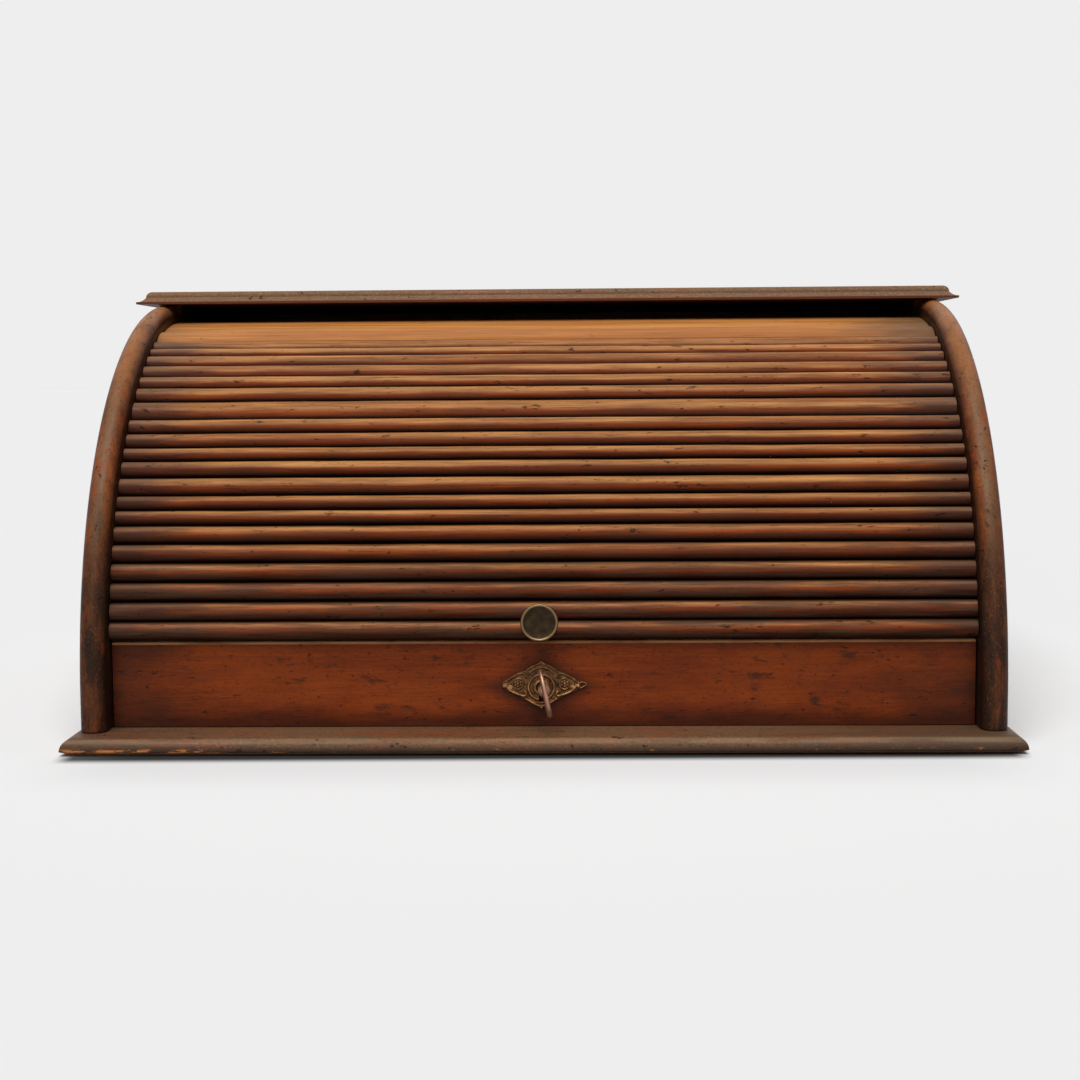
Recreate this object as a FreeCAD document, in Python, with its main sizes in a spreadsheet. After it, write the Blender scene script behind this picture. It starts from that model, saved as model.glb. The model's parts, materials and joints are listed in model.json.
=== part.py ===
"""Tambour lid box: a roll-top letter box with a locking drawer, as a parametric document.

Millimetres, +Z up. The front faces -Y and the origin is the middle of the base board's underside.
Every size stands in the spreadsheet "Sizes"; the pieces are bound to its cells by expressions.

The shutter's slats run in a groove that is an arc of one circle, the roll. Each slat is drawn at the
top of that circle, with the circle's centre as its own origin, and then turned to its place.
"""
import math
import os
import re

import FreeCAD
import Part
import Sketcher

# ---------------------------------------------------------------- driving sizes

SIZES = [
    ("case_width", 440, "over both side boards"),
    ("side_thickness", 12.5, "side board, with a full bullnose"),
    ("side_depth", 372, "side board, front to back"),
    ("roll_radius", 193, "quarter-round shoulder of the side boards"),
    ("roll_centre_height", 16, "roll's centre above the base board's top"),
    ("base_thickness", 8, "base board"),
    ("base_front_overhang", 14.5, "base board in front of the sides"),
    ("base_end_overhang", 5.5, "base board beyond each side"),
    ("base_back_overhang", 3, "base board behind the sides"),
    ("base_nose", 2.2, "nose of its edge above the underside"),
    ("base_undercut", 5, "underside's edge inside the nose"),
    ("top_thickness", 7, "top board"),
    ("top_setback", 168, "top board's front edge behind the sides' front"),
    ("top_end_overhang", 7.5, "top board beyond each side"),
    ("top_back_overhang", 3, "top board behind the sides"),
    ("top_lip", 1.2, "thin lip under the moulding"),
    ("top_cove", 2.6, "height of the moulding's hollow"),
    ("top_cove_reach", 4.6, "the same hollow, from the edge inwards"),
    ("back_thickness", 8, "back panel"),
    ("floor_thickness", 6, "compartment floor"),
    ("floor_shutter_gap", 0.6, "floor's front edge to the canvas behind it"),
    ("inner_back_thickness", 6, "false back"),
    ("inner_back_reach", 103, "false back behind the roll's centre"),
    ("inner_back_shutter_gap", 4, "false back to the canvas above it"),
    ("crown_inset", 8, "slats' crowns inside the sides' outer edge"),
    ("slat_root", 2.6, "flat part of a slat, under its reed"),
    ("reed_rise", 4, "height of a reed over the flat part"),
    ("narrow_reed", 8, "width that a narrow slat takes at the crown"),
    ("plain_reed", 9.65, "the same for a plain slat"),
    ("wide_reed", 10.65, "the same for a wide slat"),
    ("broad_reed", 13.8, "the same for the broad slat"),
    ("tail_reed", 17.9, "the same for the tail slat"),
    ("tail_reed_rise", 1.8, "the tail slat's flatter crown"),
    ("tail_board_width", 72, "the same for the tail board"),
    ("tail_board_thickness", 5, "tail board"),
    ("slat_gap", 0.2, "between the backs of neighbouring slats"),
    ("slat_end_gap", 0.5, "slat's shoulder to the side board"),
    ("tongue_thickness", 2.4, "tongue at each slat's end"),
    ("groove_depth", 5, "groove for the tongues"),
    ("groove_play", 0.4, "tongue to groove, inside and outside"),
    ("groove_end_gap", 0.3, "tongue to the groove's ends, at both limits"),
    ("tongue_end_gap", 0.8, "tongue to the groove's bottom"),
    ("canvas_thickness", 0.7, "cloth glued to the slats"),
    ("canvas_seat", 0.1, "glue between cloth and slats"),
    ("canvas_margin", 6, "bare wood round the cloth"),
    ("shutter_travel", 60, "degrees from closed to open"),
    ("shutter_foot_gap", 1.4, "lead rail's crown above the drawer front"),
    ("knob_diameter", 18, "knob's disc"),
    ("knob_rim", 2.6, "thickness of the disc's rim"),
    ("knob_stand", 14, "knob's seat to its face"),
    ("knob_neck", 5, "knob's neck across"),
    ("knob_foot", 9, "knob's foot across"),
    ("knob_foot_height", 1.2, "knob's foot"),
    ("knob_foot_slope", 1, "cone from the foot to the neck, along the axis"),
    ("knob_flare", 1.6, "cone from the neck to the disc, along the axis"),
    ("knob_seat_depth", 2.2, "knob's seat below the crown"),
    ("knob_shift", -0.7, "knob sideways from the middle"),
    ("knob_drop", 2.4, "knob below the groove of the lead rail"),
    ("knob_screw", 3, "screw's shank across"),
    ("knob_screw_head", 6, "screw's head across"),
    ("knob_screw_head_height", 1.8, "screw's head"),
    ("knob_screw_bite", 7.5, "screw's length in the knob"),
    ("thread_room", 0.5, "blind hole beyond a screw's tip"),
    ("screw_play", 0.05, "round a screw, on the radius"),
    ("drawer_front_height", 41.2, "drawer front"),
    ("drawer_front_thickness", 12, "drawer front"),
    ("drawer_front_round", 1.6, "rounding of the drawer front's upper edge"),
    ("drawer_setback", 16, "drawer front behind the sides' front"),
    ("drawer_gap_under", 0.4, "drawer over the base board"),
    ("drawer_gap_over", 0.6, "drawer front under the floor"),
    ("drawer_end_gap", 0.7, "drawer front to each side board"),
    ("drawer_side_gap", 1, "drawer side to each side board"),
    ("drawer_back_room", 48, "drawer's back to the back panel"),
    ("drawer_side_height", 38, "drawer sides"),
    ("drawer_wall", 7, "drawer sides and back"),
    ("drawer_bottom_rise", 4, "drawer bottom above the lower edges"),
    ("drawer_bottom_thickness", 3, "drawer bottom"),
    ("drawer_groove_depth", 3, "groove for the drawer bottom"),
    ("drawer_groove_play", 0.1, "drawer bottom in its grooves"),
    ("stop_width", 24, "drawer stop across"),
    ("stop_depth", 14, "drawer stop front to back"),
    ("stop_height", 16, "drawer stop"),
    ("stop_inset", 56, "drawer stop's middle inside the drawer side"),
    ("stop_gap", 0.3, "closed drawer to its stops"),
    ("lock_shift", -0.3, "key sideways from the middle"),
    ("lock_height", 19.3, "key above the base board's top"),
    ("lock_width", 34, "lock case across"),
    ("lock_depth", 8, "lock case front to back"),
    ("lock_inset", 6, "lock case let into the drawer front"),
    ("lock_below", 11, "lock case below the key"),
    ("lock_wall", 1.2, "brass of the lock case"),
    ("lock_plate_width", 52, "lock's back plate across"),
    ("lock_screw", 2, "lock screw's shank across"),
    ("lock_screw_head", 4, "lock screw's head across"),
    ("lock_screw_head_height", 1, "lock screw's head"),
    ("lock_screw_length", 7, "lock screw's shank"),
    ("lock_screw_height", 20, "between upper and lower lock screws"),
    ("bolt_width", 14, "lock bolt across"),
    ("bolt_thickness", 4, "lock bolt front to back"),
    ("bolt_height", 13.6, "lock bolt"),
    ("bolt_sink", 0.4, "bolt's end below the drawer front's top, unlocked"),
    ("bolt_play", 0.15, "bolt in the slots"),
    ("bolt_throw", 5, "travel of the bolt"),
    ("mortise_room", 0.6, "mortise beyond the thrown bolt"),
    ("strike_width", 26, "strike plate across"),
    ("strike_depth", 12, "strike plate front to back"),
    ("strike_thickness", 1, "strike plate"),
    ("key_shank", 4, "key's shank across"),
    ("key_play", 0.05, "key's shank in the lock case, on the radius"),
    ("key_collar", 6, "key's collar across"),
    ("key_collar_length", 1.5, "key's collar"),
    ("key_bit_reach", 6.5, "key's bit, from its axis"),
    ("key_bit_thickness", 1.6, "key's bit"),
    ("key_bit_width", 4, "key's bit, along its axis"),
    ("key_bow_height", 23, "key's bow across"),
    ("key_bow_length", 17, "key's bow along its axis"),
    ("key_bow_rim", 3.6, "rim of the bow"),
    ("key_bow_thickness", 2.2, "bow edge-on"),
    ("key_bow_stand", 21, "bow's centre in front of the drawer front"),
    ("key_tilt", -12, "degrees that the key stands turned at rest"),
    ("keyhole_play", 0.7, "key's shank in the wood and the escutcheon"),
    ("keyhole_slot", 2.4, "keyhole's slot across"),
    ("keyhole_room", 0.6, "keyhole's slot beyond the bit"),
    ("escutcheon_width", 41, "escutcheon across"),
    ("escutcheon_shift", 1.6, "middle of the escutcheon's width to the right of the key"),
    ("escutcheon_height", 24, "escutcheon"),
    ("escutcheon_thickness", 1, "escutcheon's plate"),
    ("escutcheon_bead", 2.6, "bead at each point, across"),
    ("escutcheon_ring", 13.2, "raised ring round the keyhole, across"),
    ("escutcheon_ring_wall", 1.1, "wall of the ring"),
    ("escutcheon_boss", 8.4, "boss inside the ring, across"),
    ("escutcheon_relief", 0.9, "ring and boss above the plate"),
    ("pin_spacing", 30, "between the escutcheon's two pins"),
    ("pin_shank", 1, "pin's shank across"),
    ("pin_head", 2.4, "pin's head across"),
    ("pin_head_height", 0.6, "pin's head"),
    ("pin_length", 6, "pin's shank"),
    ("base_screw", 3.5, "base screw's shank across"),
    ("base_screw_head", 7, "base screw's head across"),
    ("base_screw_head_height", 2.5, "base screw's head"),
    ("base_screw_length", 26, "base screw"),
    ("base_screw_sink", 0.3, "base screw's head above the underside"),
    ("base_screw_margin", 30, "end screws from the sides' front and back"),
]

# Places and sizes worked out from the driving ones, in the same words.
DERIVED = {
    "half_inside": "(case_width / 2 - side_thickness)",
    "bullnose": "(side_thickness / 2)",
    "base_depth": "(base_front_overhang + side_depth + base_back_overhang)",
    "base_round": "(base_thickness - base_nose)",
    "front_y": "(base_front_overhang - base_depth / 2)",
    "back_y": "(front_y + side_depth)",
    "roll_y": "(front_y + roll_radius)",
    "roll_z": "(base_thickness + roll_centre_height)",
    "top_z": "(roll_z + roll_radius)",
    "top_depth": "(side_depth + top_back_overhang - top_setback)",
    "top_thumb": "(top_thickness - top_lip - top_cove)",
    "top_cove_radius": "((top_cove_reach ^ 2 + top_cove ^ 2) / (2 * top_cove))",
    "crown_radius": "(roll_radius - crown_inset)",
    "back_radius": "(crown_radius - reed_rise - slat_root)",
    "canvas_outside": "(back_radius - canvas_seat)",
    "canvas_inside": "(canvas_outside - canvas_thickness)",
    "slat_half_length": "(half_inside - slat_end_gap)",
    "tongue_half_length": "(half_inside + groove_depth - tongue_end_gap)",
    "groove_inside": "(back_radius - groove_play)",
    "groove_outside": "(sqrt((back_radius + tongue_thickness) ^ 2 + (tail_reed / 2) ^ 2) + groove_play)",
    "drawer_y": "(front_y + drawer_setback)",
    "drawer_z": "(base_thickness + drawer_gap_under)",
    "drawer_inner_y": "(drawer_y + drawer_front_thickness)",
    "drawer_back_y": "(back_y - back_thickness - drawer_back_room)",
    "drawer_top": "(drawer_z + drawer_front_height)",
    "drawer_side_x": "(half_inside - drawer_side_gap)",
    "drawer_bottom_z": "(drawer_z + drawer_bottom_rise)",
    "drawer_bottom_top": "(drawer_bottom_z + drawer_bottom_thickness)",
    "floor_z": "(drawer_top + drawer_gap_over)",
    "floor_top": "(floor_z + floor_thickness)",
    "floor_front": "(roll_y - sqrt(canvas_inside ^ 2 - (floor_top - roll_z) ^ 2) + floor_shutter_gap)",
    "inner_back_y": "(roll_y + inner_back_reach)",
    "inner_back_rear": "(inner_back_y + inner_back_thickness)",
    "inner_back_top": "(roll_z + sqrt(canvas_inside ^ 2 - (inner_back_rear - roll_y) ^ 2)"
                      " - inner_back_shutter_gap)",
    "foot_angle": "asin((drawer_top + shutter_foot_gap - roll_z) / crown_radius)",
    "knob_seat": "(crown_radius - knob_seat_depth)",
    "lock_z": "(base_thickness + lock_height)",
    "lock_y": "(drawer_inner_y - lock_inset)",
    "lock_bottom": "(lock_z - lock_below)",
    "lock_back_y": "(lock_y + lock_depth)",
    "bolt_y": "(lock_y + lock_depth / 2 - bolt_thickness / 2)",
    "bolt_top": "(drawer_top - bolt_sink)",
    "keyhole_radius": "(key_shank / 2 + keyhole_play)",
    "keyhole_foot": "(key_bit_reach + keyhole_room)",
    "base_screw_x": "(case_width / 2 - bullnose)",
}

# The slats above the lead rail, from the lowest up, each cut from one of four stock widths.
SLATS = (
    ["plain_reed"] * 4 + ["narrow_reed"] * 2 + ["wide_reed", "plain_reed", "narrow_reed"]
    + ["plain_reed"] * 2 + ["broad_reed", "wide_reed", "plain_reed"] + ["wide_reed"] * 2
    + ["narrow_reed", "wide_reed"]
)
LEAD_RAIL = "(2 * plain_reed)"
SHUTTER = [LEAD_RAIL] + SLATS + ["tail_reed", "tail_board_width"]

# How far a cutting tool runs past the face that it opens.
BEYOND = "1"

CELLS = [alias for alias, number, meaning in SIZES]
WORD = r"[a-z_]+"
X_AXIS = FreeCAD.Vector(1, 0, 0)
Y_AXIS = FreeCAD.Vector(0, 1, 0)
Z_AXIS = FreeCAD.Vector(0, 0, 1)

doc = FreeCAD.newDocument("TambourLidBox")
sheet = doc.addObject("Spreadsheet::Sheet", "Sizes")
for row, (alias, number, meaning) in enumerate(SIZES, start=1):
    sheet.set(f"A{row}", meaning)
    sheet.set(f"B{row}", str(number))
    sheet.setAlias(f"B{row}", alias)
doc.recompute()
nodes = []


# ---------------------------------------------------------------- expressions and places

def spelled(expression):
    """Write an expression out in the names of the spreadsheet's cells."""
    while any(word in DERIVED for word in re.findall(WORD, expression)):
        expression = re.sub(WORD, lambda found: DERIVED.get(found[0], found[0]), expression)
    return re.sub(WORD, lambda found: "Sizes." * (found[0] in CELLS) + found[0], expression)


def value(expression):
    return float(sheet.evalExpression(spelled(expression)))


def bind(thing, name, expression):
    thing.setExpression(name, spelled(expression))


def place(thing, x="0", y="0", z="0", axis=X_AXIS, angle="0 deg"):
    """Move an object to a place and turn it there about one axis."""
    thing.Placement = FreeCAD.Placement(FreeCAD.Vector(), FreeCAD.Rotation(axis, 1))
    for letter, expression in (("x", x), ("y", y), ("z", z)):
        bind(thing, f"Placement.Base.{letter}", expression)
    bind(thing, "Placement.Rotation.Angle", angle)
    return thing


def place_on_roll(thing, angle):
    """Turn a piece drawn at the top of the roll forward, to an angle above the level front."""
    return place(thing, y="roll_y", z="roll_z", angle=f"90 deg - ({angle})")


def arc_angle(widths):
    """Angle that some widths, laid side by side at the slats' crowns, take on the roll."""
    return f"({' + '.join(widths)}) / crown_radius * 1 rad"


def node(thing):
    """Keep an object as one of the model's named pieces."""
    nodes.append(thing)
    return thing


# ---------------------------------------------------------------- primitives and booleans

def added(kind, label):
    thing = doc.addObject(kind, label)
    thing.Label = label
    return thing


def block(label, x, y, z):
    """A box from its low and high limits along each axis."""
    box = added("Part::Box", label)
    for side, (low, high) in (("Length", x), ("Width", y), ("Height", z)):
        bind(box, side, f"({high}) - ({low})")
    return place(box, x[0], y[0], z[0])


def centred(middle, width):
    """Low and high limit of a width about a middle."""
    return (f"{middle} - {width} / 2", f"{middle} + {width} / 2")


def rod(label, along, across, start, end, diameter, play="0"):
    """A cylinder along x, y or z, between two places on that axis."""
    cylinder = added("Part::Cylinder", label)
    bind(cylinder, "Radius", f"{diameter} / 2 + {play}")
    bind(cylinder, "Height", f"({end}) - ({start})")
    first, second = across
    if along == "y":
        return place(cylinder, first, start, second, X_AXIS, "-90 deg")
    return place(cylinder, first, second, start)


def fused(label, pieces):
    union = added("Part::MultiFuse", label)
    union.Shapes = pieces
    union.Refine = True
    return union


def cut(label, base, tools):
    """Take one or more tools out of a piece."""
    difference = added("Part::Cut", label)
    difference.Base = base
    difference.Tool = tools[0] if len(tools) == 1 else fused(f"{label}_tools", tools)
    return difference


# ---------------------------------------------------------------- bodies

def new_body(label):
    return added("PartDesign::Body", label)


def constrain(sketch, constraint, expression):
    """Add a dimension and bind it to an expression."""
    index = sketch.addConstraint(constraint)
    sketch.setExpression(f"Constraints[{index}]", spelled(expression))


def fix_point(sketch, line, end, x, y):
    """Fix one point of a sketch to a place; a coordinate of None stays free."""
    if x == "0":
        sketch.addConstraint(Sketcher.Constraint("PointOnObject", line, end, -2))
    elif x is not None:
        constrain(sketch, Sketcher.Constraint("DistanceX", -1, 1, line, end, value(x)), x)
    if y == "0":
        sketch.addConstraint(Sketcher.Constraint("PointOnObject", line, end, -1))
    elif y is not None:
        constrain(sketch, Sketcher.Constraint("DistanceY", -1, 1, line, end, value(y)), y)


def outline(body, plane, corners):
    """Draw a closed outline on one of the body's own origin planes.

    A corner is (x, y). An arc that leads to it adds (centre x, centre y, turn), with turn 1 for
    anticlockwise and -1 for clockwise.
    """
    sketch = body.newObject("Sketcher::SketchObject", f"{body.Label}_outline")
    support = next(part for part in body.Origin.OriginFeatures if part.Role == plane)
    sketch.AttachmentSupport = [(support, "")]
    sketch.MapMode = "FlatFace"
    spots = [FreeCAD.Vector(value(corner[0]), value(corner[1]), 0) for corner in corners]
    starts = []
    ends = []
    for index, corner in enumerate(corners):
        before, after = spots[index - 1], spots[index]
        turn = corner[4] if len(corner) == 5 else 0
        if turn:
            centre = FreeCAD.Vector(value(corner[2]), value(corner[3]), 0)
            circle = Part.Circle(centre, Z_AXIS, (after - centre).Length)
            first, last = (before, after) if turn > 0 else (after, before)
            angles = [math.atan2(spot.y - centre.y, spot.x - centre.x) for spot in (first, last)]
            sketch.addGeometry(Part.ArcOfCircle(circle, *angles))
        else:
            sketch.addGeometry(Part.LineSegment(before, after))
        starts.append(2 if turn < 0 else 1)
        ends.append(1 if turn < 0 else 2)
    for index, corner in enumerate(corners):
        following = (index + 1) % len(corners)
        joint = Sketcher.Constraint("Coincident", index, ends[index], following, starts[following])
        sketch.addConstraint(joint)
        fix_point(sketch, index, ends[index], corner[0], corner[1])
    for index, corner in enumerate(corners):
        if len(corner) == 5:
            chord = spots[index] - spots[index - 1]
            level = abs(chord.x) > abs(chord.y)
            fix_point(sketch, index, 3, None if level else corner[2], corner[3] if level else None)
    return sketch


def padded(body, sketch, length, symmetric=False, down=None):
    """Pad an outline; down adds a second length on the other side."""
    pad = body.newObject("PartDesign::Pad", f"{body.Label}_pad")
    pad.Profile = sketch
    bind(pad, "Length", length)
    if symmetric:
        pad.SideType = "Symmetric"
    if down:
        pad.SideType = "Two sides"
        bind(pad, "Length2", down)
    sketch.Visibility = False
    return pad


def revolved(body, sketch, angle, back_angle=None, kind="Revolution"):
    """Turn an outline about its own level axis; with no back angle, half goes each way."""
    turned = body.newObject(f"PartDesign::{kind}", f"{body.Label}_turn")
    turned.Profile = sketch
    turned.ReferenceAxis = (sketch, ["H_Axis"])
    if back_angle:
        turned.Type = "TwoAngles"
        bind(turned, "Angle2", back_angle)
    else:
        turned.Midplane = True
    bind(turned, "Angle", angle)
    sketch.Visibility = False
    return turned


def rectangle(x, y):
    """Corners of an upright rectangle from its low and high limits."""
    return [(x[0], y[0]), (x[1], y[0]), (x[1], y[1]), (x[0], y[1])]


# ---------------------------------------------------------------- screws

def screw(label, along, across, tip, head_face, shank, head, head_height, play="0"):
    """A screw from its tip to its head's outer face, drawn with play for the hole it needs.

    The head lies on the side of lower coordinates when head_face is less than tip.
    """
    forward = value(head_face) < value(tip)
    neck = f"({head_face}) + {head_height}" if forward else f"({head_face}) - {head_height}"
    shank_span = (neck, tip) if forward else (tip, neck)
    head_span = (head_face, neck) if forward else (neck, head_face)
    return fused(label, [
        rod(f"{label}_shank", along, across, *shank_span, shank, play),
        rod(f"{label}_head", along, across, *head_span, head, play),
    ])


def base_screw_places():
    """Side and depth of each of the six screws through the base board."""
    depths = ["front_y + base_screw_margin", "front_y + side_depth / 2", "back_y - base_screw_margin"]
    return [(f"{hand} * base_screw_x", depth) for hand in (-1, 1) for depth in depths]


def base_screw(label, spot, play="0"):
    tip = "base_screw_length + base_screw_sink"
    sizes = ("base_screw", "base_screw_head", "base_screw_head_height")
    return screw(label, "z", spot, tip, "base_screw_sink", *sizes, play)


def mouth(label, spot, start, end, diameter):
    """The open end of an upright hole, out past the face in front of a sunk head."""
    return rod(label, "z", spot, start, end, diameter, "screw_play")


# ---------------------------------------------------------------- the case

def moulded_board(label, half_length, depth, thickness, edge):
    """A board with a moulding along both ends and the front.

    The moulding's corners go up from the underside, as for outline, and are measured inwards from
    the board's edge.
    """
    board = new_body(label)
    right = []
    left = []
    front = []
    rear = f"-({depth}) / 2"
    for index, corner in enumerate(edge):
        right.append((f"{half_length} - ({corner[0]})", corner[1]))
        left.append((f"-({half_length}) + {corner[0]}", corner[1]))
        front.append((f"{rear} + {corner[0]}", corner[1]))
        if len(corner) == 5:
            inwards, height, turn = corner[2:]
            right[index] += (f"{half_length} - ({inwards})", height, turn)
            left[index - 1] += (f"-({half_length}) + {inwards}", height, turn)
            front[index] += (f"{rear} + {inwards}", height, -turn)
    padded(board, outline(board, "XZ_Plane", right + left[::-1]), depth, symmetric=True)
    above = f"{thickness} + {BEYOND}"
    outside = f"{rear} - {BEYOND}"
    waste = [(outside, f"-{BEYOND}"), (front[0][0], f"-{BEYOND}")] + front
    waste += [(front[-1][0], above), (outside, above)]
    moulding = board.newObject("PartDesign::Pocket", f"{label}_moulding")
    moulding.Profile = outline(board, "YZ_Plane", waste)
    moulding.SideType = "Symmetric"
    moulding.Type = "ThroughAll"
    return board


def make_base_board():
    """The base board, with a rounded edge over an undercut nose and the base screws' holes."""
    board = moulded_board("base_board_blank", "(case_width / 2 + base_end_overhang)", "base_depth",
                          "base_thickness", [
        ("base_undercut", "0"),
        ("0", "base_nose"),
        ("base_round", "base_thickness", "base_round", "base_nose", 1),
    ])
    holes = []
    for number, spot in enumerate(base_screw_places(), start=1):
        holes.append(base_screw(f"base_hole_{number}", spot, "screw_play"))
        mouth_label = f"base_hole_mouth_{number}"
        holes.append(mouth(mouth_label, spot, f"-{BEYOND}", "base_screw_sink", "base_screw_head"))
    node(cut("base_board", board, holes))


def make_side_board(label, hand):
    """A side board, drawn about the roll's centre: a bullnosed quarter, its stem and a back block."""
    body = new_body(f"{label}_blank")
    outer = f"{hand} * case_width / 2"
    inner = f"{hand} * half_inside"
    middle = f"{hand} * (case_width / 2 - bullnose)"
    shoulder = "roll_radius - bullnose"
    quarter = outline(body, "XZ_Plane", [
        (inner, "0"),
        (outer, "0"),
        (outer, shoulder),
        (inner, shoulder, middle, shoulder, hand),
    ])
    turn = revolved(body, quarter, "90")
    turn.Midplane = False
    stem = outline(body, "XY_Plane", [
        (inner, "0"),
        (outer, "0"),
        (outer, f"-({shoulder})"),
        (inner, f"-({shoulder})", middle, f"-({shoulder})", -hand),
    ])
    padded(body, stem, "roll_centre_height").Reversed = True
    back = outline(body, "XY_Plane", rectangle((inner, outer), ("0", "side_depth - roll_radius")))
    padded(body, back, "roll_radius", down="roll_centre_height")
    groove = outline(body, "XZ_Plane", rectangle(
        (inner, f"{hand} * (half_inside + groove_depth)"), ("groove_inside", "groove_outside")))
    end_gap = "groove_end_gap / back_radius * 1 rad"
    closed_end = f"90 deg - foot_angle + {end_gap}"
    open_end = f"foot_angle + {arc_angle(SHUTTER)} + shutter_travel * 1 deg + {end_gap} - 90 deg"
    revolved(body, groove, closed_end, open_end, "Groove")
    place(body, y="roll_y", z="roll_z")
    holes = []
    for number, spot in enumerate(base_screw_places(), start=1):
        if (value(spot[0]) > 0) == (hand > 0):
            holes.append(base_screw(f"{label}_hole_{number}", spot, "screw_play"))
    node(cut(label, body, holes))


def make_top_board():
    """The top board: a thin lip, a shallow hollow and a rounded edge above it."""
    waist = "top_lip + top_cove"
    crest = "top_cove_reach + top_thumb"
    body = moulded_board("top_board", "(case_width / 2 + top_end_overhang)", "top_depth",
                         "top_thickness", [
        ("0", "0"),
        ("0", "top_lip"),
        ("top_cove_reach", waist, "0", "top_lip + top_cove_radius", -1),
        (crest, "top_thickness", crest, waist, 1),
    ])
    place(body, y="front_y + top_setback + top_depth / 2", z="top_z")
    node(body)


def make_case_boards():
    """The flat boards between the sides, the drawer stops and the lock's strike plate."""
    inside = ("-half_inside", "half_inside")
    node(block("back_panel", inside, ("back_y - back_thickness", "back_y"), ("base_thickness", "top_z")))
    node(block("inner_back", inside, ("inner_back_y", "inner_back_rear"), ("floor_top", "inner_back_top")))
    for label, hand in (("drawer_stop_left", -1), ("drawer_stop_right", 1)):
        depth = ("drawer_back_y + stop_gap", "drawer_back_y + stop_gap + stop_depth")
        height = ("base_thickness", "base_thickness + stop_height")
        middle = f"{hand} * (drawer_side_x - stop_inset)"
        node(block(label, centred(middle, "stop_width"), depth, height))
    bolt_middle = "(bolt_y + bolt_thickness / 2)"
    plate_depth = ("floor_front", f"{bolt_middle} + strike_depth / 2")
    plate_height = ("floor_z", "floor_z + strike_thickness")
    plate_width = centred("lock_shift", "strike_width")
    mortise_top = "bolt_top + bolt_throw + mortise_room"
    slot = (centred("lock_shift", "(bolt_width + 2 * bolt_play)"),
            centred(bolt_middle, "(bolt_thickness + 2 * bolt_play)"),
            (f"floor_z - {BEYOND}", mortise_top))
    floor = block("floor_blank", inside, ("floor_front", "back_y - back_thickness"), ("floor_z", "floor_top"))
    tools = [block("floor_mortise", *slot),
             block("floor_strike_bed", plate_width, plate_depth, plate_height)]
    node(cut("compartment_floor", floor, tools))
    plate = block("strike_plate_blank", plate_width, plate_depth, plate_height)
    node(cut("strike_plate", plate, [block("strike_plate_slot", *slot)]))


# ---------------------------------------------------------------- the shutter

def stick_width(width):
    """Width at the back of a slat that takes the given width at the crown."""
    return f"({width} * back_radius / crown_radius - slat_gap)"


def reed_radius(half_width, rise):
    return f"(({half_width}) ^ 2 + {rise} ^ 2) / (2 * {rise})"


def slat_body(label, width, rise="reed_rise", reeds=1):
    """A straight stick with one or more reeds on its face and a tongue at each end."""
    body = new_body(label)
    half = f"{stick_width(width)} / 2"
    shoulder = f"crown_radius - {rise}"
    half_reed = f"{half} / {reeds}"
    corners = [(f"-{half}", "back_radius"), (half, "back_radius"), (half, shoulder)]
    for number in range(reeds):
        middle = f"{half} - {2 * number + 1} * {half_reed}"
        end = f"{half} - {2 * number + 2} * {half_reed}"
        centre = f"crown_radius - {reed_radius(half_reed, rise)}"
        is_middle = reeds == 2 * (number + 1)
        corners.append(("0" if is_middle else end, shoulder, middle, centre, 1))
    padded(body, outline(body, "YZ_Plane", corners), "2 * slat_half_length", symmetric=True)
    tongue = rectangle((f"-{half}", half), ("back_radius", "back_radius + tongue_thickness"))
    padded(body, outline(body, "YZ_Plane", tongue), "2 * tongue_half_length", symmetric=True)
    return body


def curved_board(label, inside, outside, half_length, angle):
    """A board sawn to the curve of the roll, as a body still without its tongues."""
    body = new_body(label)
    section = outline(body, "XZ_Plane", rectangle((f"-{half_length}", half_length), (inside, outside)))
    revolved(body, section, angle)
    return body


def make_slats():
    """All wooden pieces of the shutter, laid one after the other up the roll."""
    labels = ["lead_rail"] + [f"slat_{number:02d}" for number in range(1, len(SLATS) + 1)]
    labels += ["tail_slat", "tail_board"]
    for index, (label, width) in enumerate(zip(labels, SHUTTER)):
        angle = f"foot_angle + {arc_angle(SHUTTER[:index] + [width + ' / 2'])}"
        if label == "lead_rail":
            piece = make_lead_rail(width)
        elif label == "tail_board":
            piece = make_tail_board(label, width)
        elif label == "tail_slat":
            piece = slat_body(label, width, "tail_reed_rise")
        else:
            piece = slat_body(label, width)
        node(place_on_roll(piece, angle))


def knob_screw_body(label, play="0"):
    tip = "knob_seat + knob_screw_bite"
    sizes = ("knob_screw", "knob_screw_head", "knob_screw_head_height")
    return screw(label, "z", ("knob_shift", "-knob_drop"), tip, "back_radius", *sizes, play)


def make_lead_rail(width):
    """The lowest rail, with two reeds and a seat for the knob at the lower one's shoulder."""
    blank = slat_body("lead_rail_blank", width, reeds=2)
    seat = rod("lead_rail_seat", "z", ("knob_shift", "-knob_drop"), "knob_seat", f"crown_radius + {BEYOND}",
               "knob_foot", "screw_play")
    return cut("lead_rail", blank, [seat, knob_screw_body("lead_rail_hole", "screw_play")])


def make_tail_board(label, width):
    angle = f"{arc_angle([width])} - slat_gap / back_radius * 1 rad"
    board = curved_board(label, "back_radius", "back_radius + tail_board_thickness",
                         "slat_half_length", angle)
    tongue = outline(board, "XZ_Plane", rectangle(("-tongue_half_length", "tongue_half_length"),
                                                  ("back_radius", "back_radius + tongue_thickness")))
    revolved(board, tongue, angle)
    return board


def make_canvas():
    half_length = "(slat_half_length - canvas_margin)"
    angle = f"{arc_angle(SHUTTER)} - 2 * canvas_margin / back_radius * 1 rad"
    canvas = curved_board("canvas", "canvas_inside", "canvas_outside", half_length, angle)
    middle = f"foot_angle + {arc_angle(SHUTTER)} / 2"
    node(place_on_roll(canvas, middle))


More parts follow.
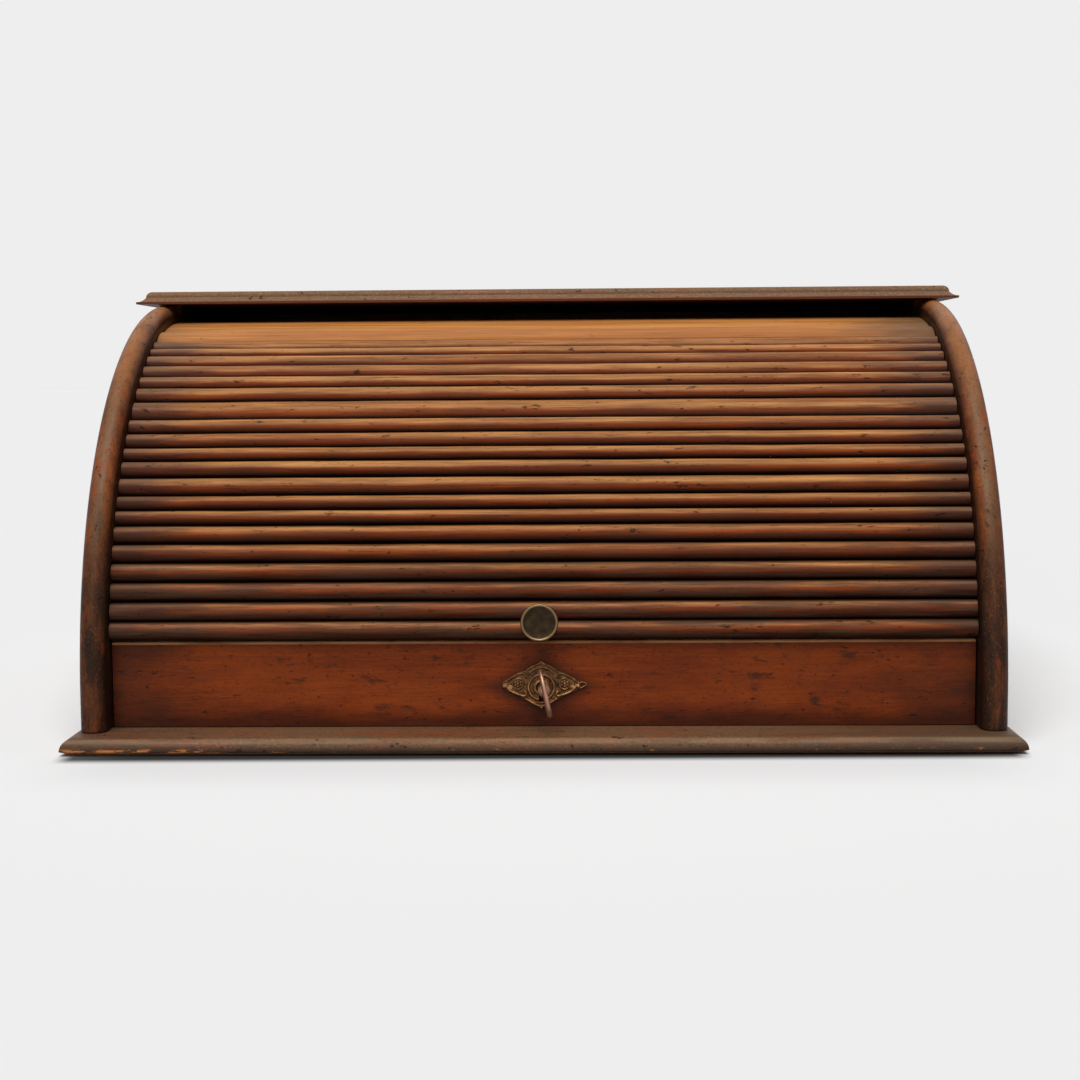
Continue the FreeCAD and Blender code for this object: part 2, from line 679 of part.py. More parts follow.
def make_knob():
    """The turned knob and its screw, drawn like the slats at the top of the roll."""
    middle = f"foot_angle + {arc_angle([LEAD_RAIL + ' / 2'])}"
    screw_hole = "(knob_screw / 2 + screw_play)"
    bottom = "(knob_screw_bite + thread_room)"
    rim = "(knob_diameter / 2 - knob_rim / 2)"
    rim_low = "knob_stand - knob_rim"
    body = new_body("knob_blank")
    profile = outline(body, "XZ_Plane", [
        ("0", bottom),
        (screw_hole, bottom),
        (screw_hole, "0"),
        ("knob_foot / 2", "0"),
        ("knob_foot / 2", "knob_foot_height"),
        ("knob_neck / 2", "knob_foot_height + knob_foot_slope"),
        ("knob_neck / 2", f"{rim_low} - knob_flare"),
        (rim, rim_low),
        (rim, "knob_stand", rim, "knob_stand - knob_rim / 2", 1),
        ("0", "knob_stand"),
    ])
    turn = body.newObject("PartDesign::Revolution", "knob_turn")
    turn.Profile = profile
    turn.ReferenceAxis = (profile, ["V_Axis"])
    turn.Angle = 360
    place(body, x="knob_shift", y="-knob_drop", z="knob_seat")
    knob = added("Part::Compound", "knob")
    knob.Links = [body]
    node(place_on_roll(knob, middle))
    node(place_on_roll(knob_screw_body("knob_screw"), middle))


# ---------------------------------------------------------------- the drawer

def make_drawer_front():
    body = new_body("drawer_front_blank")
    height = "drawer_front_height"
    edge = "drawer_front_round"
    section = outline(body, "YZ_Plane", [
        ("0", "0"),
        ("drawer_front_thickness", "0"),
        ("drawer_front_thickness", height),
        (edge, height),
        ("0", f"{height} - {edge}", edge, f"{height} - {edge}", 1),
    ])
    padded(body, section, "2 * (half_inside - drawer_end_gap)", symmetric=True)
    place(body, y="drawer_y", z="drawer_z")
    lock_bed = block("front_lock_bed", centred("lock_shift", "lock_width"),
                     ("lock_y", f"drawer_inner_y + {BEYOND}"), ("lock_bottom", f"drawer_top + {BEYOND}"))
    groove = block("front_groove", bottom_width("0"),
                   ("drawer_inner_y - drawer_groove_depth", f"drawer_inner_y + {BEYOND}"),
                   ("drawer_bottom_z", "drawer_bottom_top"))
    tools = [lock_bed, groove, keyhole("front_keyhole", f"drawer_y - {BEYOND}", f"lock_y + {BEYOND}")]
    tools += [lock_screw(f"front_screw_hole_{number}", spot, "screw_play")
              for number, spot in enumerate(lock_screw_places(), start=1)]
    tools += [escutcheon_pin(f"front_pin_hole_{hand}", hand, "screw_play") for hand in (-1, 1)]
    node(cut("drawer_front", body, tools))


def bottom_width(play):
    """Limits across of the drawer bottom, in its grooves."""
    half = f"(drawer_side_x - drawer_wall + drawer_groove_depth - {play})"
    return (f"-{half}", half)


def make_drawer_box():
    """The drawer's sides, back and bottom. The bottom slides in from behind, under the back."""
    for label, hand in (("drawer_side_left", -1), ("drawer_side_right", 1)):
        inner = f"{hand} * (drawer_side_x - drawer_wall)"
        width = sorted((f"{hand} * drawer_side_x", inner), key=value)
        side = block(f"{label}_blank", width, ("drawer_inner_y", "drawer_back_y"),
                     ("drawer_z", "drawer_z + drawer_side_height"))
        groove_width = sorted((f"{hand} * (drawer_side_x - drawer_wall + drawer_groove_depth)", inner),
                              key=value)
        groove = block(f"{label}_groove", groove_width, ("drawer_inner_y", "drawer_back_y"),
                       ("drawer_bottom_z", "drawer_bottom_top"))
        node(cut(label, side, [groove]))
    between = ("-(drawer_side_x - drawer_wall)", "drawer_side_x - drawer_wall")
    node(block("drawer_back", between, ("drawer_back_y - drawer_wall", "drawer_back_y"),
               ("drawer_bottom_top", "drawer_z + drawer_side_height")))
    node(block("drawer_bottom", bottom_width("drawer_groove_play"),
               ("drawer_inner_y - drawer_groove_depth + drawer_groove_play", "drawer_back_y"),
               ("drawer_bottom_z", "drawer_bottom_top")))


# ---------------------------------------------------------------- the lock

def keyhole(label, start, end, hole_radius="keyhole_radius"):
    """A round hole for the key's shank with a slot below it for the bit."""
    hole = rod(f"{label}_round", "y", ("lock_shift", "lock_z"), start, end, f"(2 * {hole_radius})")
    slot = block(f"{label}_slot", centred("lock_shift", "keyhole_slot"), (start, end),
                 ("lock_z - keyhole_foot", "lock_z"))
    return fused(label, [hole, slot])


def lock_screw_places():
    """The four screws of the lock's back plate."""
    out = "(lock_width / 2 + lock_plate_width / 2) / 2"
    middle = "((lock_bottom + drawer_top) / 2)"
    return [(f"lock_shift + {side} * {out}", f"{middle} + {rise} * lock_screw_height / 2")
            for rise in (1, -1) for side in (-1, 1)]


def lock_screw(label, spot, play="0"):
    face = "drawer_inner_y + lock_wall + lock_screw_head_height"
    tip = "drawer_inner_y + lock_wall - lock_screw_length"
    return screw(label, "y", spot, tip, face, "lock_screw", "lock_screw_head", "lock_screw_head_height",
                 play)


def make_lock_case():
    """A brass box let into the drawer front, with a back plate and a slot on top for the bolt."""
    high = ("lock_bottom", "drawer_top")
    case = block("lock_case_box", centred("lock_shift", "lock_width"), ("lock_y", "lock_back_y"), high)
    plate = block("lock_case_plate", centred("lock_shift", "lock_plate_width"),
                  ("drawer_inner_y", "drawer_inner_y + lock_wall"), high)
    cavity = block("lock_case_cavity", centred("lock_shift", "(lock_width - 2 * lock_wall)"),
                   ("lock_y + lock_wall", "lock_back_y - lock_wall"),
                   ("lock_bottom + lock_wall", "drawer_top - lock_wall"))
    slot = block("lock_case_slot", centred("lock_shift", "(bolt_width + 2 * bolt_play)"),
                 ("bolt_y - bolt_play", "bolt_y + bolt_thickness + bolt_play"),
                 (f"drawer_top - lock_wall - {BEYOND}", f"drawer_top + {BEYOND}"))
    hole = keyhole("lock_case_keyhole", f"lock_y - {BEYOND}", "lock_y + lock_wall",
                   "(key_shank / 2 + key_play)")
    tools = [cavity, slot, hole]
    tools += [lock_screw(f"lock_case_hole_{number}", spot, "screw_play")
              for number, spot in enumerate(lock_screw_places(), start=1)]
    node(cut("lock_case", fused("lock_case_blank", [case, plate]), tools))


def make_lock_bolt():
    node(block("lock_bolt", centred("lock_shift", "bolt_width"), ("bolt_y", "bolt_y + bolt_thickness"),
               ("bolt_top - bolt_height", "bolt_top")))


def make_key():
    """The key, drawn with its axis along Y through its own origin and turned to its tilt."""
    bow = new_body("key_bow")
    shank_start = "-key_bow_stand + key_bow_length / 2 - key_bow_rim / 2"
    round_out = "(key_bow_length / 2)"
    straight = "(key_bow_height / 2 - key_bow_length / 2)"
    round_in = "(key_bow_length / 2 - key_bow_rim)"
    thickness = "key_bow_thickness"
    for radius, kind, length in ((round_out, "PartDesign::Pad", thickness),
                                 (round_in, "PartDesign::Pocket", f"{thickness} + 2 * {BEYOND}")):
        sketch = outline(bow, "YZ_Plane", [
            (f"-{radius}", f"-{straight}"),
            (radius, f"-{straight}", "0", f"-{straight}", 1),
            (radius, straight),
            (f"-{radius}", straight, "0", straight, 1),
        ])
        feature = bow.newObject(kind, "key_bow_feature")
        feature.Profile = sketch
        feature.SideType = "Symmetric"
        bind(feature, "Length", length)
    place(bow, y="-key_bow_stand")
    bit_start = "(bolt_y + bolt_thickness / 2 - key_bit_width / 2 - drawer_y)"
    bit_end = f"({bit_start} + key_bit_width)"
    axis = ("0", "0")
    collar_end = "-key_bow_stand + key_bow_length / 2 + key_collar_length"
    shank = rod("key_shank_rod", "y", axis, shank_start, bit_end, "key_shank")
    collar = rod("key_collar_rod", "y", axis, "-key_bow_stand + key_bow_length / 2", collar_end, "key_collar")
    bit = block("key_bit", centred("0", "key_bit_thickness"), (bit_start, bit_end), ("-key_bit_reach", "0"))
    key = fused("key", [bow, shank, collar, bit])
    node(place(key, "lock_shift", "drawer_y", "lock_z", Y_AXIS, "key_tilt * 1 deg"))


def escutcheon_pin(label, hand, play="0"):
    spot = (f"lock_shift + {hand} * pin_spacing / 2", "lock_z")
    face = "drawer_y - escutcheon_thickness - pin_head_height"
    tip = "drawer_y - escutcheon_thickness + pin_length"
    return screw(label, "y", spot, tip, face, "pin_shank", "pin_head", "pin_head_height", play)


def make_escutcheon():
    """A lozenge plate with a bead at each point, a ring and a boss round the keyhole."""
    plate = new_body("escutcheon_plate")
    reach_left = "(escutcheon_width / 2 - escutcheon_bead / 2 - escutcheon_shift)"
    reach_right = "(escutcheon_width / 2 - escutcheon_bead / 2 + escutcheon_shift)"
    reach_z = "(escutcheon_height / 2 - escutcheon_bead / 2)"
    points = [(f"-{reach_left}", "0"), ("0", f"-{reach_z}"), (reach_right, "0"), ("0", reach_z)]
    sketch = outline(plate, "XZ_Plane", points)
    padded(plate, sketch, "escutcheon_thickness")
    place(plate, x="lock_shift", y="drawer_y", z="lock_z")
    span = ("drawer_y - escutcheon_thickness", "drawer_y")
    pieces = [plate]
    for number, (across, up) in enumerate(points, start=1):
        spot = (f"lock_shift + {across}", f"lock_z + {up}")
        pieces.append(rod(f"escutcheon_bead_{number}", "y", spot, *span, "escutcheon_bead"))
    centre = ("lock_shift", "lock_z")
    front = "drawer_y - escutcheon_thickness - escutcheon_relief"
    relief = (front, "drawer_y")
    ring = rod("escutcheon_ring_outside", "y", centre, *relief, "escutcheon_ring")
    well = rod("escutcheon_ring_inside", "y", centre, f"{front} - {BEYOND}", "drawer_y",
               "(escutcheon_ring - 2 * escutcheon_ring_wall)")
    pieces.append(cut("escutcheon_ring_piece", ring, [well]))
    pieces.append(rod("escutcheon_boss_piece", "y", centre, *relief, "escutcheon_boss"))
    tools = [keyhole("escutcheon_keyhole", f"{front} - {BEYOND}", f"drawer_y + {BEYOND}")]
    tools += [escutcheon_pin(f"escutcheon_pin_hole_{hand}", hand, "screw_play") for hand in (-1, 1)]
    node(cut("escutcheon", fused("escutcheon_blank", pieces), tools))


# ---------------------------------------------------------------- the whole box

make_base_board()
make_side_board("left_side", -1)
make_side_board("right_side", 1)
make_top_board()
make_case_boards()
make_slats()
make_canvas()
make_knob()
make_drawer_front()
make_drawer_box()
make_lock_case()
make_lock_bolt()
make_key()
make_escutcheon()
for count, place_of_screw in enumerate(base_screw_places(), start=1):
    node(base_screw(f"base_screw_{count}", place_of_screw))
for count, place_of_screw in enumerate(lock_screw_places(), start=1):
    node(lock_screw(f"lock_screw_{count}", place_of_screw))
node(escutcheon_pin("escutcheon_pin_left", -1))
node(escutcheon_pin("escutcheon_pin_right", 1))
doc.recompute()

for thing in doc.Objects:
    if "Invalid" in thing.State or "Error" in thing.State:
        raise RuntimeError(f"{thing.Label} failed: {thing.State}")
for piece in nodes:
    if piece.Shape.isNull() or not piece.Shape.isValid() or not piece.Shape.Solids:
        raise RuntimeError(f"{piece.Label} has no valid solid")

os.makedirs("parts", exist_ok=True)
for piece in nodes:
    piece.Shape.exportStep(f"parts/{piece.Label}.step")
    solids = len(piece.Shape.Solids)
    print(f"{piece.Label}: {solids} solid, {piece.Shape.Volume / 1000:.2f} cm3")
print(len(nodes), "pieces")
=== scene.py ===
# %% [markdown]
# # A roll-top letter box, dressed for its portrait
# The box is a case of thin boards with a shutter of half-round slats, a drawer with a brass
# escutcheon, a key and a turned knob. The frame brings every board and fitting at its real size and
# place, in metres, with the front facing -Y and the table top at z = 0. What the frame can't bring is
# age: the polish, the dust in the grooves, the chipped edge and the pressed ornament. Those are made
# here, one piece at a time, and each rides on the body that carries it.

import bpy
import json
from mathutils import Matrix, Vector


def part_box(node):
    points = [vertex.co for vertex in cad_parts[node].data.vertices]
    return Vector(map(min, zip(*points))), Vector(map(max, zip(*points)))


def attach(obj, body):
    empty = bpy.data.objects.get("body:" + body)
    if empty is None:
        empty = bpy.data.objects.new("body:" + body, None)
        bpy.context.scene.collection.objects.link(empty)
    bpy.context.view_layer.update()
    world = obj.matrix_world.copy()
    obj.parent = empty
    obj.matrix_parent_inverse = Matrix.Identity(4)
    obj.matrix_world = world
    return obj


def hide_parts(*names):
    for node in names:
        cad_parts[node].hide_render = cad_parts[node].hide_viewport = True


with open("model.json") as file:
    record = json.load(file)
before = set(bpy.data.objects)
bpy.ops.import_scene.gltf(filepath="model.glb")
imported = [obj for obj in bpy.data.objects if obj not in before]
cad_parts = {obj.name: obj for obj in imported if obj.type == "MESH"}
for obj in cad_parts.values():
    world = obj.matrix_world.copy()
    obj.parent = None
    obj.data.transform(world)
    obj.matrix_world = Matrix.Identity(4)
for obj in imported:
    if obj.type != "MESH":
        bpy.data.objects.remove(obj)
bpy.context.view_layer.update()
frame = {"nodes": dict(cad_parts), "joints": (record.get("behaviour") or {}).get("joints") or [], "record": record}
nodes = frame["nodes"]

# %% Tools of the trade
import json
import math
import random

import bmesh
import bpy
from mathutils import Matrix, Vector

MM = 0.001
scene = bpy.context.scene

# %% [markdown]
# ## Where things are
# The shutter runs on one circle, so its hinge gives the circle's centre, and the slats' crowns give
# its radius. Most finishes on this box are measured from these few places: a slat is dirtier the
# further it lies below the crowns, and dustier towards its ends.

# %% Places read from the frame
joints = {joint["name"]: joint for joint in frame["joints"]}
ROLL = Vector(joints["shutter_roll"]["pos_m"])
LOCK = Vector(joints["key_turn"]["pos_m"])
side_low, side_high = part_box("right_side")
base_low, base_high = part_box("base_board")
front_low, front_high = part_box("drawer_front")
HALF_INSIDE = side_low.x


def seen_from_roll(node):
    """A node's corners, measured from the roll's axis."""
    return [corner.co - ROLL for corner in nodes[node].data.vertices]


slat_radii = [spot.yz.length for spot in seen_from_roll("slat_10")]
BACK_RADIUS, CROWN_RADIUS = min(slat_radii), max(slat_radii)
print("roll at", tuple(ROLL), "crown radius", round(CROWN_RADIUS, 4))


# %% [markdown]
# ## The camera
# A wide, low box shows best from in front and a little above, through a long lens, so that the slats
# stay level and the sides hardly converge. The camera is placed by its distance and its three small
# angles, and not by eye, because the slats show the slightest tilt.

# %% Camera
CAMERA_PLACE = Vector((20.0, -1036.75, 176.0)) * MM
CAMERA_YAW = math.radians(-1.341)
CAMERA_PITCH = math.radians(5.111)
CAMERA_ROLL = math.radians(-0.421)
FOCAL_LENGTH = 61.33
SENSOR_WIDTH = 36.0

camera_data = bpy.data.cameras.new("portrait_camera")
camera_data.lens = FOCAL_LENGTH
camera_data.sensor_width = SENSOR_WIDTH
camera_data.clip_start = 10 * MM
camera = bpy.data.objects.new("portrait_camera", camera_data)
scene.collection.objects.link(camera)
turns = (
    Matrix.Rotation(CAMERA_ROLL, 4, "Y")
    @ Matrix.Rotation(CAMERA_PITCH, 4, "X")
    @ Matrix.Rotation(CAMERA_YAW, 4, "Z")
)
looking_forward = Matrix.Rotation(math.radians(90), 4, "X")
camera.matrix_world = Matrix.Translation(CAMERA_PLACE) @ turns.transposed() @ looking_forward
scene.camera = camera
scene.view_settings.view_transform = "Standard"
print("camera at", tuple(CAMERA_PLACE))


# %% [markdown]
# ## Building materials out of a few words
# Every finish is a small network of nodes. To keep each network readable, a finish is written with a
# handful of words: a pattern in the object's own coordinates, a ramp that turns the pattern into a
# mask, and paint that lays a tint over the colour so far, as thickly as the mask says. Tints are
# written as they look on screen and turned into light values once, here.

# %% Helpers for finishes
def light_value(colour):
    """Turn a colour written as 0 to 255 per channel into the renderer's linear values."""
    linear = []
    for channel in colour:
        share = channel / 255
        linear.append(share / 12.92 if share <= 0.04045 else ((share + 0.055) / 1.055) ** 2.4)
    return (*linear, 1.0)


class Network:
    """A network of nodes. Each one is added with its settings and with what goes into it."""

    def __init__(self, tree):
        self.tree = tree

    def plug(self, socket, value):
        """Link a value that varies over the surface, or set one that doesn't."""
        if isinstance(value, bpy.types.NodeSocket):
            self.tree.links.new(value, socket)
        else:
            socket.default_value = value

    def add(self, kind, inputs=None, **settings):
        node = self.tree.nodes.new(kind)
        for setting, value in settings.items():
            setattr(node, setting, value)
        for socket, value in (inputs or {}).items():
            self.plug(node.inputs[socket], value)
        return node


class Finish(Network):
    """One material's network, with the few words that the finishes below are made of."""

    def __init__(self, name):
        self.material = bpy.data.materials.new(name)
        self.material.use_nodes = True
        super().__init__(self.material.node_tree)
        self.shader = self.tree.nodes["Principled BSDF"]
        coordinates = self.add("ShaderNodeTexCoord").outputs
        self.place, self.normal = coordinates["Object"], coordinates["Normal"]
        self.colour = None

    # Sums
    def math(self, operation, first, second=0.0, clamp=False):
        numbers = {0: first, 1: second}
        return self.add("ShaderNodeMath", numbers, operation=operation, use_clamp=clamp).outputs[0]

    def plus(self, first, second):
        return self.math("ADD", first, second)

    def minus(self, first, second):
        return self.math("SUBTRACT", first, second)

    def times(self, first, second):
        return self.math("MULTIPLY", first, second)

    def slant(self, first, second):
        """Length of a slanting line from its two upright shares."""
        return self.math("SQRT", self.plus(self.times(first, first), self.times(second, second)))

    # Places
    def axis(self, name):
        """One of the object's coordinates, in metres."""
        return self.add("ShaderNodeSeparateXYZ", {0: self.place}).outputs[name]

    def beyond(self, name, start):
        """How far a place lies beyond the start along one axis. It is negative before it."""
        return self.minus(self.axis(name), start)

    def distance(self, name, middle):
        """How far a place lies from the middle along one axis, to either side."""
        return self.math("ABSOLUTE", self.beyond(name, middle))

    def forward(self, start):
        """How far a place lies in front of the start."""
        return self.minus(start, self.axis("Y"))

    def roll_radius(self):
        """Distance from the axis that the shutter turns about."""
        return self.slant(self.beyond("Y", ROLL.y), self.beyond("Z", ROLL.z))

    def roll_angle(self):
        """Angle about that axis, in radians above the level front."""
        return self.math("ARCTAN2", self.beyond("Z", ROLL.z), self.forward(ROLL.y))

    def skyward(self):
        """How far the surface faces the sky: 1 is straight up and -1 straight down."""
        return self.add("ShaderNodeSeparateXYZ", {0: self.normal}).outputs["Z"]

    def uphill(self):
        """How far the surface faces up along the roll: 1 is straight up it and -1 straight down."""
        way_up = {"Y": self.beyond("Z", ROLL.z), "Z": self.forward(ROLL.y)}
        ways = {0: self.normal, 1: self.add("ShaderNodeCombineXYZ", way_up).outputs[0]}
        facing = self.add("ShaderNodeVectorMath", ways, operation="DOT_PRODUCT")
        return self.math("DIVIDE", facing.outputs["Value"], self.roll_radius())

    def attribute(self, name):
        """A number that the piece itself carries at each of its corners."""
        return self.add("ShaderNodeAttribute", attribute_name=name).outputs["Fac"]

    # Patterns
    def stretched(self, lengths, offset):
        """The object's coordinates measured in lengths of millimetres along x, y and z."""
        scale = [1 / (length * MM) for length in lengths]
        mapping = {"Vector": self.place, "Scale": scale, "Location": offset}
        return self.add("ShaderNodeMapping", mapping).outputs["Vector"]

    def noise(self, lengths, detail=3, roughness=0.55, offset=(0, 0, 0), distortion=0):
        """Soft random values with features about as large as the lengths."""
        texture = {"Vector": self.stretched(lengths, offset), "Scale": 1.0, "Detail": detail,
                   "Roughness": roughness, "Distortion": distortion}
        return self.add("ShaderNodeTexNoise", texture).outputs["Fac"]

    def specks(self, lengths, share, size, offset):
        """Small round marks, scattered so that about that share of the cells holds one."""
        texture = {"Vector": self.stretched(lengths, offset), "Scale": 1.0}
        cells = self.add("ShaderNodeTexVoronoi", texture).outputs
        chance = self.add("ShaderNodeSeparateColor", {0: cells["Color"]}).outputs[0]
        chosen = self.math("LESS_THAN", chance, share)
        return self.times(chosen, self.ramp(cells["Distance"], 0.35 * size, size, 1, 0))

    def wave(self, value, length):
        """A regular wave from -1 to 1 of that length."""
        return self.math("SINE", self.times(value, math.tau / length))

    # Masks and paint
    def ramp(self, value, start, end, low=0.0, high=1.0):
        """Map a stretch of values smoothly onto another, and hold the ends."""
        stretch = {"Value": value, "From Min": start, "From Max": end, "To Min": low, "To Max": high}
        return self.add("ShaderNodeMapRange", stretch, interpolation_type="SMOOTHSTEP").outputs["Result"]

    def ramp_mm(self, value, start, end, low=0.0, high=1.0):
        """The same for a length, from one number of millimetres to another."""
        return self.ramp(value, start * MM, end * MM, low, high)

    def blend(self, mask, first, second):
        """Blend two colours by a mask."""
        mixed = {"Factor": mask}
        for socket, colour in (("A", first), ("B", second)):
            mixed[socket] = light_value(colour) if isinstance(colour, tuple) else colour
        return self.add("ShaderNodeMix", mixed, data_type="RGBA").outputs["Result"]

    def paint(self, tint, mask):
        """Lay a tint over the colour so far."""
        self.colour = self.blend(mask, self.colour, tint)

    def mottle(self, tint, lengths, band, within=1.0, **texture):
        """Paint a tint in clouds. band is the noise's ramp: its start and end, and its two values."""
        mask = self.times(self.ramp(self.noise(lengths, **texture), *band), within)
        self.paint(tint, mask)
        return mask

    def bump(self, height, depth, under=None):
        """Raise or sink the surface by up to a depth in millimetres."""
        relief = {"Strength": 1.0, "Distance": depth * MM, "Height": height}
        if under:
            relief["Normal"] = under
        return self.add("ShaderNodeBump", relief).outputs["Normal"]

    def done(self, **values):
        """Plug the colour and the other values into the shader, and hand the material over."""
        values["Base_Color"] = self.colour
        for socket, value in values.items():
            self.plug(self.shader.inputs[socket.replace("_", " ")], value)
        return self.material


# %% [markdown]
# ## Light and floor
# The box stands on a seamless pale sheet under one large overhead light. A lamp close by would shade
# the sheet unevenly, so the light comes from far away: a broad sun from above and in front, two weak
# ones from lower in front and from behind, and a soft sky. To the camera and to mirrors the sheet is
# nearly as bright as the sky behind it, and a little darker far away, so that no horizon shows. To
# the box it is dark, because much of a real sheet lies in the box's own shade, except for the strip
# right in front, which lights the base board's lower edge. Soft suns alone leave no dark line where a
# board touches paper, so a thin shade along the front is painted on the sheet.

# %% Floor
SHEET_TONE = (238, 238, 238)
ALBEDO_NEAR_BOX = 0.95
ALBEDO_FAR = 0.915
ALBEDO_TO_BOX = 0.12
ALBEDO_TO_BOX_IN_FRONT = 0.5
FLOOR_SIZE = 60.0


def added(primitive, **settings):
    """Add one of Blender's primitives, and return it."""
    bpy.ops.object.select_all(action="DESELECT")
    primitive(**settings)
    return bpy.context.object


floor = added(bpy.ops.mesh.primitive_plane_add, size=FLOOR_SIZE)
floor.name = "paper_floor"
print("floor", FLOOR_SIZE, "m wide")

# %% The shade along the base board
CONTACT_SHADE = 0.855
CONTACT_TAIL = 0.1
WIDER_TO_THE_RIGHT = 0.012

paper = Finish("paper_floor")
ahead = paper.plus(paper.forward(base_low.y), paper.times(paper.axis("X"), WIDER_TO_THE_RIGHT))
aside = paper.distance("X", 0)
in_front = paper.ramp_mm(ahead, -10, -4)
beside = paper.ramp(aside, base_high.x - 8 * MM, base_high.x + 2 * MM, 1, 0)
beside_tail = paper.ramp(aside, base_high.x - 40 * MM, base_high.x + 20 * MM, 1, 0)
contact = paper.times(paper.ramp_mm(ahead, 2.6, 14.8, CONTACT_SHADE, 0), beside)
tail = paper.times(paper.ramp_mm(ahead, 20, 80, CONTACT_TAIL, 0), beside_tail)
shade = paper.times(paper.plus(contact, tail), in_front)
print("shade", CONTACT_SHADE, "at the board, with a tail of", CONTACT_TAIL)

# %% The sheet, as the camera and as the box sees it
from_box = paper.add("ShaderNodeVectorMath", {0: paper.place}, operation="LENGTH").outputs["Value"]
sheet = paper.ramp_mm(from_box, 270, 500, ALBEDO_NEAR_BOX, ALBEDO_FAR)
to_camera = paper.times(paper.minus(1.0, shade), sheet)
lit_strip = paper.times(in_front, paper.ramp_mm(ahead, 15, 60, ALBEDO_TO_BOX_IN_FRONT, 0))
to_box = paper.plus(lit_strip, ALBEDO_TO_BOX)
rays = paper.add("ShaderNodeLightPath").outputs
seen = paper.math("MAXIMUM", rays["Is Camera Ray"], rays["Is Glossy Ray"])
seen = paper.math("MAXIMUM", seen, rays["Is Transmission Ray"])
albedo = paper.plus(paper.times(seen, to_camera), paper.times(paper.minus(1.0, seen), to_box))
grey = paper.add("ShaderNodeCombineColor", {channel: albedo for channel in range(3)})
matt = paper.add("ShaderNodeBsdfDiffuse", {"Color": grey.outputs[0]})
paper.plug(paper.tree.nodes["Material Output"].inputs["Surface"], matt.outputs[0])
floor.data.materials.append(paper.material)
print("sheet made of", len(paper.tree.nodes), "nodes")


# %% Sky and suns
def add_sun(name, elevation, azimuth, spread, strength):
    """A far, broad lamp. Azimuth 0 is straight in front of the box, and grows to its right."""
    sun_data = bpy.data.lights.new(name, "SUN")
    sun_data.angle = math.radians(spread)
    sun_data.energy = strength
    sun = bpy.data.objects.new(name, sun_data)
    scene.collection.objects.link(sun)
    up, around = math.radians(elevation), math.radians(azimuth)
    towards = Vector((math.sin(around) * math.cos(up), -math.cos(around) * math.cos(up), math.sin(up)))
    sun.matrix_world = towards.to_track_quat("Z", "Y").to_matrix().to_4x4()


add_sun("overhead_light", elevation=65, azimuth=-7, spread=44, strength=2.45)
add_sun("front_light", elevation=22, azimuth=-5, spread=50, strength=0.4)
add_sun("rim_light", elevation=60, azimuth=180, spread=80, strength=0.3)

DIM_SKY = 0.1
sky = bpy.data.worlds.new("studio_sky")
sky.use_nodes = True
scene.world = sky
air = Network(sky.node_tree)
seen_sky = air.tree.nodes["Background"]
seen_sky.inputs["Color"].default_value = light_value(SHEET_TONE)
dim_sky = air.add("ShaderNodeBackground", {"Color": (1, 1, 1, 1), "Strength": DIM_SKY})
to_paper = air.add("ShaderNodeLightPath").outputs["Is Diffuse Ray"]
both = air.add("ShaderNodeMixShader", {"Fac": to_paper, 1: seen_sky.outputs[0], 2: dim_sky.outputs[0]})
air.plug(air.tree.nodes["World Output"].inputs["Surface"], both.outputs[0])


# %% [markdown]
# ## Wood
# Old mahogany under worn polish is several things on top of each other: the red-brown of the wood
# with its long figure and fine streaks, darker pores drawn out along the grain, a grey-brown bloom
# where dust has bonded with the polish, and dark knocks. They could be painted as one picture, but a
# picture stretches over a curved board; a pattern in the box's own space runs through the wood as
# grain does. One function lays the bare wood, and each board says how long its streaks run.

# %% The wood's layers
def wood_layers(wood, light, dark, along, figure_size=3.5, distortion=0.4):
    """Lay bare polished wood, whose streaks are so many millimetres along each axis. Returns them."""
    def drawn_out(share):
        return tuple(share * length for length in along)

    wide = wood.noise(drawn_out(figure_size), offset=(5, 2, 7), distortion=distortion)
    streaks = wood.noise(along, detail=7, roughness=0.7, distortion=0.2)
    fine = wood.noise(drawn_out(0.35), detail=4, roughness=0.7, offset=(6, 3, 5))
    figure = wood.plus(wood.times(streaks, 0.4), wood.times(wide, 0.35))
    figure = wood.plus(figure, wood.times(fine, 0.25))
    wood.colour = wood.blend(wood.ramp(figure, 0.4, 0.6), dark, light)
    pores = tuple(0.45 * channel for channel in dark)
    wood.mottle(pores, drawn_out(0.45), (0.58, 0.7, 0, 0.55), roughness=0.65, offset=(1, 8, 3))
    return streaks


def bloom(wood, tint, share, lengths, strength):
    """Grey-brown dust in the polish, in clouds over about that share of the surface."""
    band = (0.58 - 0.3 * share, 0.86 - 0.3 * share, 0, strength)
    return wood.mottle(tint, lengths, band, detail=7, roughness=0.62, offset=(3, 9, 1))


def knocks(wood, lengths, share, tint=(30, 17, 12), strength=0.85, offset=(2, 4, 6), soft=0.08):
    """Dark dents and stains of about that size, the more the larger the share. Returns their mask."""
    places = wood.noise(lengths, detail=4, roughness=0.65, offset=offset, distortion=0.25)
    marks = wood.ramp(places, 0.7 - 0.02 * share, 0.7 - 0.02 * share + soft)
    wood.paint(tint, wood.times(marks, strength))
    return marks


def dusty_ends(wood, lengths, ragged, start, end, middle=0, **texture):
    """Mask of a board's ends, from millimetres beyond the case's inside, with a ragged border."""
    waver = wood.times(wood.noise(lengths, **texture), ragged * MM)
    outward = wood.plus(wood.distance("X", middle * MM), waver)
    return wood.ramp(outward, HALF_INSIDE + start * MM, HALF_INSIDE + end * MM)


UNEVENNESS = 0.5
DENT = 0.25


